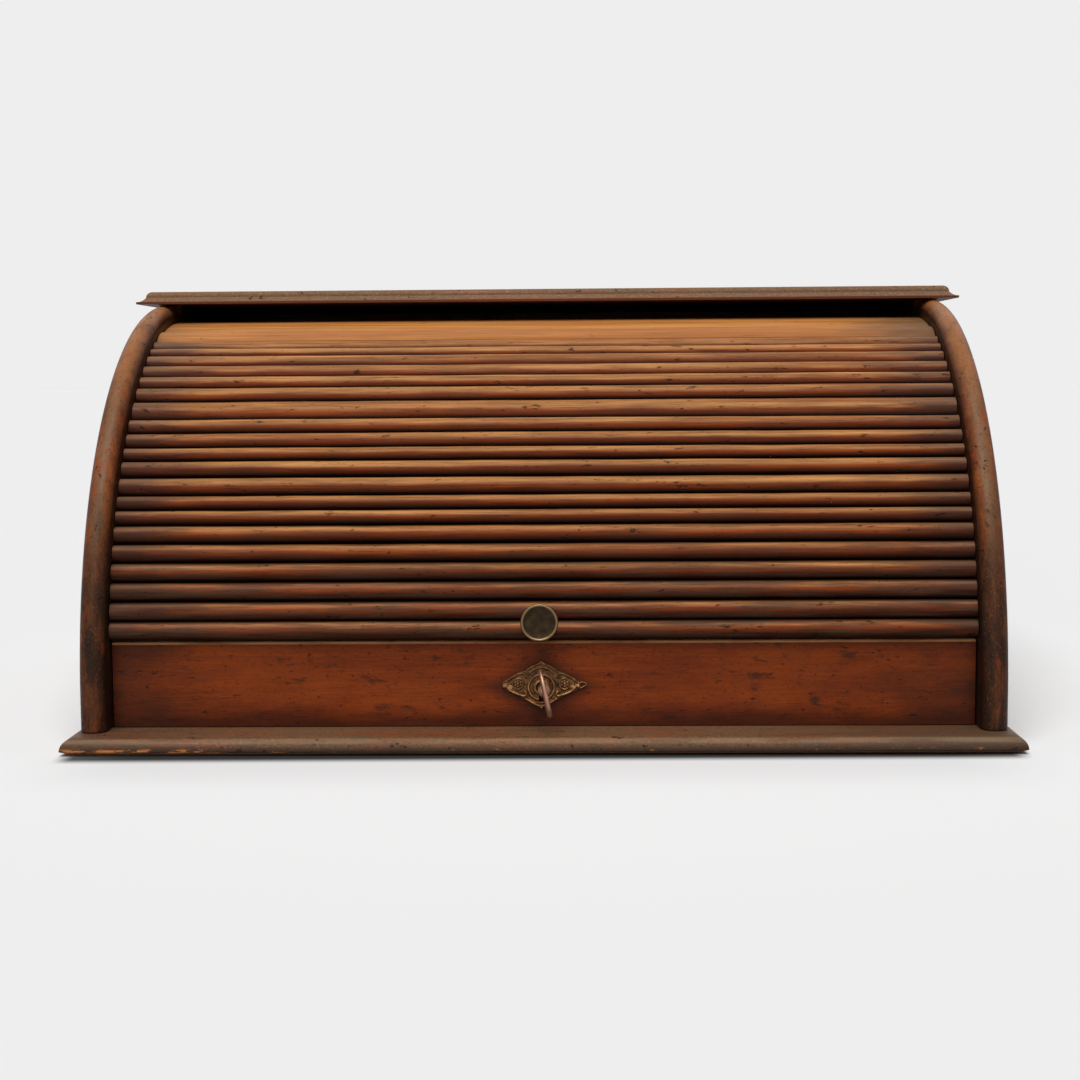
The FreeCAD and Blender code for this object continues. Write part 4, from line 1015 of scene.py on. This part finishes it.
# %% Turning on the lathe
def turned(name, cuts, segments=72):
    """A lathe piece along Z from cuts (radius, height) in millimetres, closed at both ends."""
    radius, height = cuts[0]
    piece = added(bpy.ops.mesh.primitive_circle_add, vertices=segments, radius=radius * MM,
                  location=(0, 0, height * MM), fill_type="NGON")
    piece.name = name
    settle(piece)
    start_editing(piece)
    for next_radius, next_height in cuts[1:]:
        draw_out((0, 0, (next_height - height) * MM))
        scale = next_radius / radius
        bpy.ops.transform.resize(value=(scale, scale, 1))
        radius, height = next_radius, next_height
    face_outward()
    stop_editing()
    return piece


# %% Knob
KNOB_CUTS = [
    (3.6, 0.0), (4.4, 0.25), (4.5, 0.9), (4.2, 1.3), (3.0, 1.9), (2.6, 2.6), (2.45, 4.5), (2.6, 7.0),
    (3.2, 9.0), (4.6, 10.4), (6.8, 11.2), (8.3, 11.7), (8.8, 12.1), (9.0, 12.7), (8.95, 13.3),
    (8.65, 13.8), (8.3, 14.0), (8.0, 13.95), (7.75, 13.75), (7.5, 13.6), (5.0, 13.5), (2.5, 13.48),
    (0.6, 13.48),
]
KNOB_RIM_RADIUS = 7.6 * MM
KNOB_RIM_HEIGHT = 11 * MM


def middle_of(numbers):
    return (min(numbers) + max(numbers)) / 2


rail_angle = angle_of("lead_rail")
knob_corners = lie_flat("knob", rail_angle)
knob_seat = Vector((
    middle_of([corner.x for corner in knob_corners]),
    middle_of([corner.y for corner in knob_corners]),
    min(corner.z for corner in knob_corners),
))
knob = turned("turned_knob", KNOB_CUTS)
give_tone(knob, [float(corner.co.xy.length > KNOB_RIM_RADIUS and corner.co.z > KNOB_RIM_HEIGHT)
                 for corner in knob.data.vertices])
settle(knob, Matrix.Translation(knob_seat))
settle(knob, down_to(rail_angle))
smooth(knob, 50)
knob.data.materials.append(finishes["knob_brass"])
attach(knob, "tambour")
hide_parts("knob")
print("knob's seat", [round(number / MM, 2) for number in knob_seat], "mm on the rail")


# %% [markdown]
# ## The key
# The bow is a ring drawn out into an oval and flattened, as a forged key's is, and a little heavier
# at one end; the shank, its collar and the bit are turned and filed from one bar. The ring starts as
# a torus, scaled in edit mode, and the shank is turned like the knob. A boolean union then makes one
# clean skin of the three. The lock's hole is worn, so the key leans a little to one side in it.

# %% The bow
KEY_BOW_STAND = 21.0 * MM
KEY_BOW_RADIUS = 9.7 * MM
KEY_BOW_RIM = 1.8 * MM
KEY_BOW_SHAPE = (0.739, 1, 0.6)
KEY_BOW_HEAVIER = 0.16

key = added(bpy.ops.mesh.primitive_torus_add, major_radius=KEY_BOW_RADIUS, minor_radius=KEY_BOW_RIM,
            major_segments=72, minor_segments=20)
key.name = "forged_key"
start_editing(key)
bpy.ops.transform.resize(value=KEY_BOW_SHAPE)
stop_editing()
for corner in key.data.vertices:
    corner.co.z *= 1 - KEY_BOW_HEAVIER * corner.co.y / KEY_BOW_RADIUS
bow_upright = Matrix(((0, 0, 1, 0), (1, 0, 0, -KEY_BOW_STAND), (0, 1, 0, 0), (0, 0, 0, 1)))
settle(key, bow_upright)
print("bow", [round(length / MM, 1) for length in key.dimensions], "mm")

# %% Shank and bit
SHANK_START = -14.0 * MM
SHANK_CUTS = [
    (1.2, 0.0), (1.8, 0.3), (1.9, 1.2), (2.8, 1.5), (3.0, 1.9), (3.0, 2.5), (2.8, 2.9), (2.0, 3.2),
    (2.0, 14.0), (2.0, 25.6), (1.6, 26.0),
]
BIT_PLACE = Vector((0, 10, -4)) * MM
BIT_SIZE = Vector((1.6, 4, 5)) * MM
BIT_STEP = 0.3 * MM
BIT_STEP_DEPTH = 0.1 * MM
BIT_CHAMFER = 0.12 * MM

shank = turned("key_shank", SHANK_CUTS, segments=32)
settle(shank, Matrix.Translation((0, SHANK_START, 0)) @ Matrix.Rotation(math.radians(-90), 4, "X"))

bit = added(bpy.ops.mesh.primitive_cube_add, size=1, location=BIT_PLACE, scale=BIT_SIZE)
settle(bit)
start_editing(bit)
select_by_place(bit, "FACE", lambda face: face.normal.z < -0.9)
bpy.ops.mesh.inset(thickness=BIT_STEP)
bpy.ops.transform.translate(value=(0, 0, -BIT_STEP_DEPTH))
bpy.ops.mesh.select_all(action="SELECT")
bpy.ops.mesh.bevel(offset=BIT_CHAMFER, segments=2)
stop_editing()
print("bit", len(bit.data.polygons), "faces")


# %% One key
KEY_TILT = math.radians(-12)
KEY_LEAN = math.radians(4.7)
LOCK_WALL = 1.2 * MM


def combine(piece, other, operation):
    """Join another piece to this one, or cut it away, and leave one clean skin."""
    reshape(piece, "BOOLEAN", operation=operation, solver="EXACT", object=other)
    bpy.data.objects.remove(other)


for part in (shank, bit):
    combine(key, part, "UNION")
settle(key, Matrix.Translation(LOCK) @ Matrix.Rotation(KEY_TILT, 4, "Y"))
lock_hole = Vector((LOCK.x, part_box("lock_case")[0].y + LOCK_WALL / 2, LOCK.z))
to_hole, from_hole = Matrix.Translation(-lock_hole), Matrix.Translation(lock_hole)
settle(key, from_hole @ Matrix.Rotation(KEY_LEAN, 4, "Z") @ to_hole)
smooth(key)
key.data.materials.append(finishes["key_metal"])
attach(key, "key")
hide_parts("key")
print("key", len(key.data.polygons), "faces")


# %% [markdown]
# ## The escutcheon
# The plate is pressed from thin brass: a lozenge with an arch on top, an oval rosette in a scroll on
# either side, a raised ring round the keyhole, a row of beads below and a leaf at its right point. A
# pressing has no sharp steps, so the ornament is laid on the plate as wires, beads and petals, as a
# pattern-maker builds it up in wax, and a fine voxel remesh then melts them into one skin. Places are
# millimetres from the keyhole's middle: x to the right, y up.

# %% Outline and wires of the pressing
OUTLINE = [
    (0, 12.6), (0.9, 12.3), (1.6, 11.5), (3.2, 10.9), (5.0, 10.2), (6.6, 9.2), (7.7, 7.9), (9.2, 7.5),
    (11.0, 6.9), (12.6, 6.1), (14.2, 5.3), (15.6, 4.4), (17.0, 3.4), (18.2, 2.4), (18.9, 1.4),
    (19.0, 0.2), (18.4, -0.7), (17.2, -1.4), (15.4, -2.5), (13.4, -3.4), (11.3, -4.4), (9.3, -5.4),
    (7.2, -6.5), (5.6, -7.5), (4.0, -8.4), (2.2, -9.2), (1.0, -9.9), (0, -10.6),
]
# Each wire has a thickness and its places on the right half. All of them are mirrored to the left.
WIRES = {
    "arch": (0.5, [(0, 11.5), (2.6, 10.6), (5.0, 9.5), (6.9, 7.9)]),
    "inner_arch": (0.38, [(0, 9.4), (2.6, 8.9), (4.7, 7.6), (6.1, 6.0)]),
    "brow": (0.42, [(7.4, 4.6), (8.2, 6.2), (10.4, 6.3), (12.9, 5.3), (15.2, 3.8), (17.0, 2.4)]),
    "scroll": (0.75, [(16.6, 1.6), (16.2, -0.2), (14.4, -1.9), (12.0, -3.1), (9.8, -3.9), (8.0, -4.4)]),
    "curl": (0.5, [(8.0, -4.4), (7.2, -3.4), (7.6, -2.4), (8.5, -2.5)]),
    "hem": (0.6, [(7.6, -5.6), (5.6, -6.8), (3.6, -7.9), (1.8, -8.8), (0, -9.4)]),
    "fillet": (0.35, [(6.2, -5.0), (4.4, -6.3), (2.2, -7.4), (0, -7.8)]),
    "eye": (0.34, [(8.6, 1.6), (9.2, 3.3), (11.0, 4.0), (13.0, 3.1), (13.9, 1.3), (13.0, -0.4),
                   (11.0, -1.1), (9.2, -0.2), (8.6, 1.6)]),
}
# The leaf grows from the right point only.
LEAF = [(17.6, 1.6), (19.4, 2.3), (21.5, 1.2), (20.2, 0.2), (17.8, -0.8)]
LEAF_THICKNESS = 0.5
ROSETTE = (11.2, 1.5)
# Beads: place and radius. Those off the middle are mirrored.
BEADS = [
    (0, 12.0, 0.8), (1.3, 11.2, 0.5), (0, 10.4, 0.5), (2.2, 9.7, 0.45), (4.2, 8.7, 0.45), (5.9, 7.2, 0.4),
    (17.7, 0.4, 1.1), (0, -9.9, 0.7), (1.3, -8.9, 0.42), (2.7, -8.3, 0.42), (4.1, -7.4, 0.42),
    (5.5, -6.5, 0.42), (14.8, 4.7, 0.5), (16.2, 3.6, 0.45), (15.6, -1.9, 0.45), (7.9, 7.2, 0.6),
    (*ROSETTE, 0.7),
]
WIRE_END = 0.7
WIRE_SWELLING = 0.6
PETALS = 6
PETAL_REACH = (1.5, 1.25)
PETAL_RADIUS = 0.55
PETAL_FLATNESS = 0.7
RING_RADIUS = 6.05
RING_THICKNESS = 0.55
RING_HEIGHT = 1.3
BOSS_RADIUS = 4.2
BOSS_FLATNESS = 0.27
BOSS_HEIGHT = 0.75
PLATE_THICKNESS = 0.9
RELIEF_HEIGHT = 1.0
print("outline of", len(OUTLINE), "points to the right,", len(WIRES), "wires and", len(BEADS), "beads")


# %% Laying the pressing up
def on_plate(x, y, height=0.0):
    """A place on the plate: right, up and out of the drawer's face, from millimetres."""
    return Vector((x * MM, -height * MM, y * MM))


def wire(places, thickness, closed=False):
    """A round wire through places on the plate, thinning to its ends, as a mesh."""
    curve = bpy.data.curves.new("wire", "CURVE")
    curve.dimensions = "3D"
    curve.bevel_depth = thickness * MM
    curve.bevel_resolution = 3
    curve.resolution_u = 6
    curve.use_fill_caps = True
    line = curve.splines.new("BEZIER")
    last = len(places) - 1
    line.bezier_points.add(last)
    for index, (point, (x, y)) in enumerate(zip(line.bezier_points, places)):
        point.co = on_plate(x, y, RELIEF_HEIGHT)
        point.handle_left_type = point.handle_right_type = "AUTO"
        from_end = min(index, last - index) / last
        point.radius = 1 if closed else WIRE_END + WIRE_SWELLING * from_end
    made = bpy.data.objects.new("wire", curve)
    scene.collection.objects.link(made)
    choose(made)
    bpy.ops.object.convert(target="MESH")
    return bpy.context.object


def bead(x, y, radius, flat=0.8):
    return added(bpy.ops.mesh.primitive_ico_sphere_add, subdivisions=2, radius=radius * MM,
                 scale=(1, flat, 1), location=on_plate(x, y, RELIEF_HEIGHT))


outline = OUTLINE + [(-x, y) for x, y in OUTLINE[-2:0:-1]]
plate = added(bpy.ops.mesh.primitive_circle_add, vertices=len(outline), fill_type="NGON")
for corner, (x, y) in zip(plate.data.vertices, outline):
    corner.co = on_plate(x, y)
start_editing(plate)
draw_out(on_plate(0, 0, PLATE_THICKNESS))
face_outward()
stop_editing()

laid = []
for name, (thickness, places) in WIRES.items():
    for hand in (1, -1):
        laid.append(wire([(hand * x, y) for x, y in places], thickness, closed=name == "eye"))
laid.append(wire(LEAF, LEAF_THICKNESS))
for x, y, radius in BEADS:
    laid.append(bead(x, y, radius))
    if x:
        laid.append(bead(-x, y, radius))
for hand in (1, -1):
    for number in range(PETALS):
        turn = math.tau * (number + 0.5) / PETALS
        across = hand * ROSETTE[0] + PETAL_REACH[0] * math.cos(turn)
        up = ROSETTE[1] + PETAL_REACH[1] * math.sin(turn)
        laid.append(bead(across, up, PETAL_RADIUS, PETAL_FLATNESS))

laid.append(added(
    bpy.ops.mesh.primitive_torus_add, major_radius=RING_RADIUS * MM, minor_radius=RING_THICKNESS * MM,
    major_segments=72, minor_segments=12, rotation=(math.radians(90), 0, 0),
    location=on_plate(0, 0, RING_HEIGHT)))
laid.append(added(
    bpy.ops.mesh.primitive_uv_sphere_add, segments=48, ring_count=24, radius=BOSS_RADIUS * MM,
    scale=(1, BOSS_FLATNESS, 1), location=on_plate(0, 0, BOSS_HEIGHT)))
print("laid up", len(laid), "wires, beads and petals")

# %% Melting it together
VOXEL = 0.16 * MM

bpy.ops.object.select_all(action="DESELECT")
for piece in laid + [plate]:
    piece.select_set(True)
bpy.context.view_layer.objects.active = plate
bpy.ops.object.join()
escutcheon = bpy.context.object
escutcheon.name = "pressed_escutcheon"
settle(escutcheon)
reshape(escutcheon, "REMESH", mode="VOXEL", voxel_size=VOXEL)
reshape(escutcheon, "SMOOTH", factor=0.5, iterations=2)
print("melted into", len(escutcheon.data.polygons), "faces")

# %% [markdown]
# The keyhole is cut last, with its edges crisp: a round hole for the shank and a slot for the bit.

# %% Keyhole
KEYHOLE_RADIUS = 2.7
KEYHOLE_HALF_DEPTH = 3
KEYHOLE_SLOT = 2.4
KEYHOLE_FOOT = 7.1
hole = turned("keyhole", [(KEYHOLE_RADIUS, -KEYHOLE_HALF_DEPTH), (KEYHOLE_RADIUS, KEYHOLE_HALF_DEPTH)],
              segments=40)
settle(hole, Matrix.Rotation(math.radians(90), 4, "X"))
slot_size = Vector((KEYHOLE_SLOT, 2 * KEYHOLE_HALF_DEPTH, KEYHOLE_FOOT)) * MM
slot_place = on_plate(0, -KEYHOLE_FOOT / 2)
slot_cutter = added(bpy.ops.mesh.primitive_cube_add, size=1, location=slot_place, scale=slot_size)
settle(slot_cutter)
combine(hole, slot_cutter, "UNION")
combine(escutcheon, hole, "DIFFERENCE")
settle(escutcheon, Matrix.Translation(LOCK))
smooth(escutcheon, 60)
escutcheon.data.materials.append(finishes["escutcheon_brass"])
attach(escutcheon, "drawer")
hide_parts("escutcheon")
print("escutcheon", len(escutcheon.data.polygons), "faces")
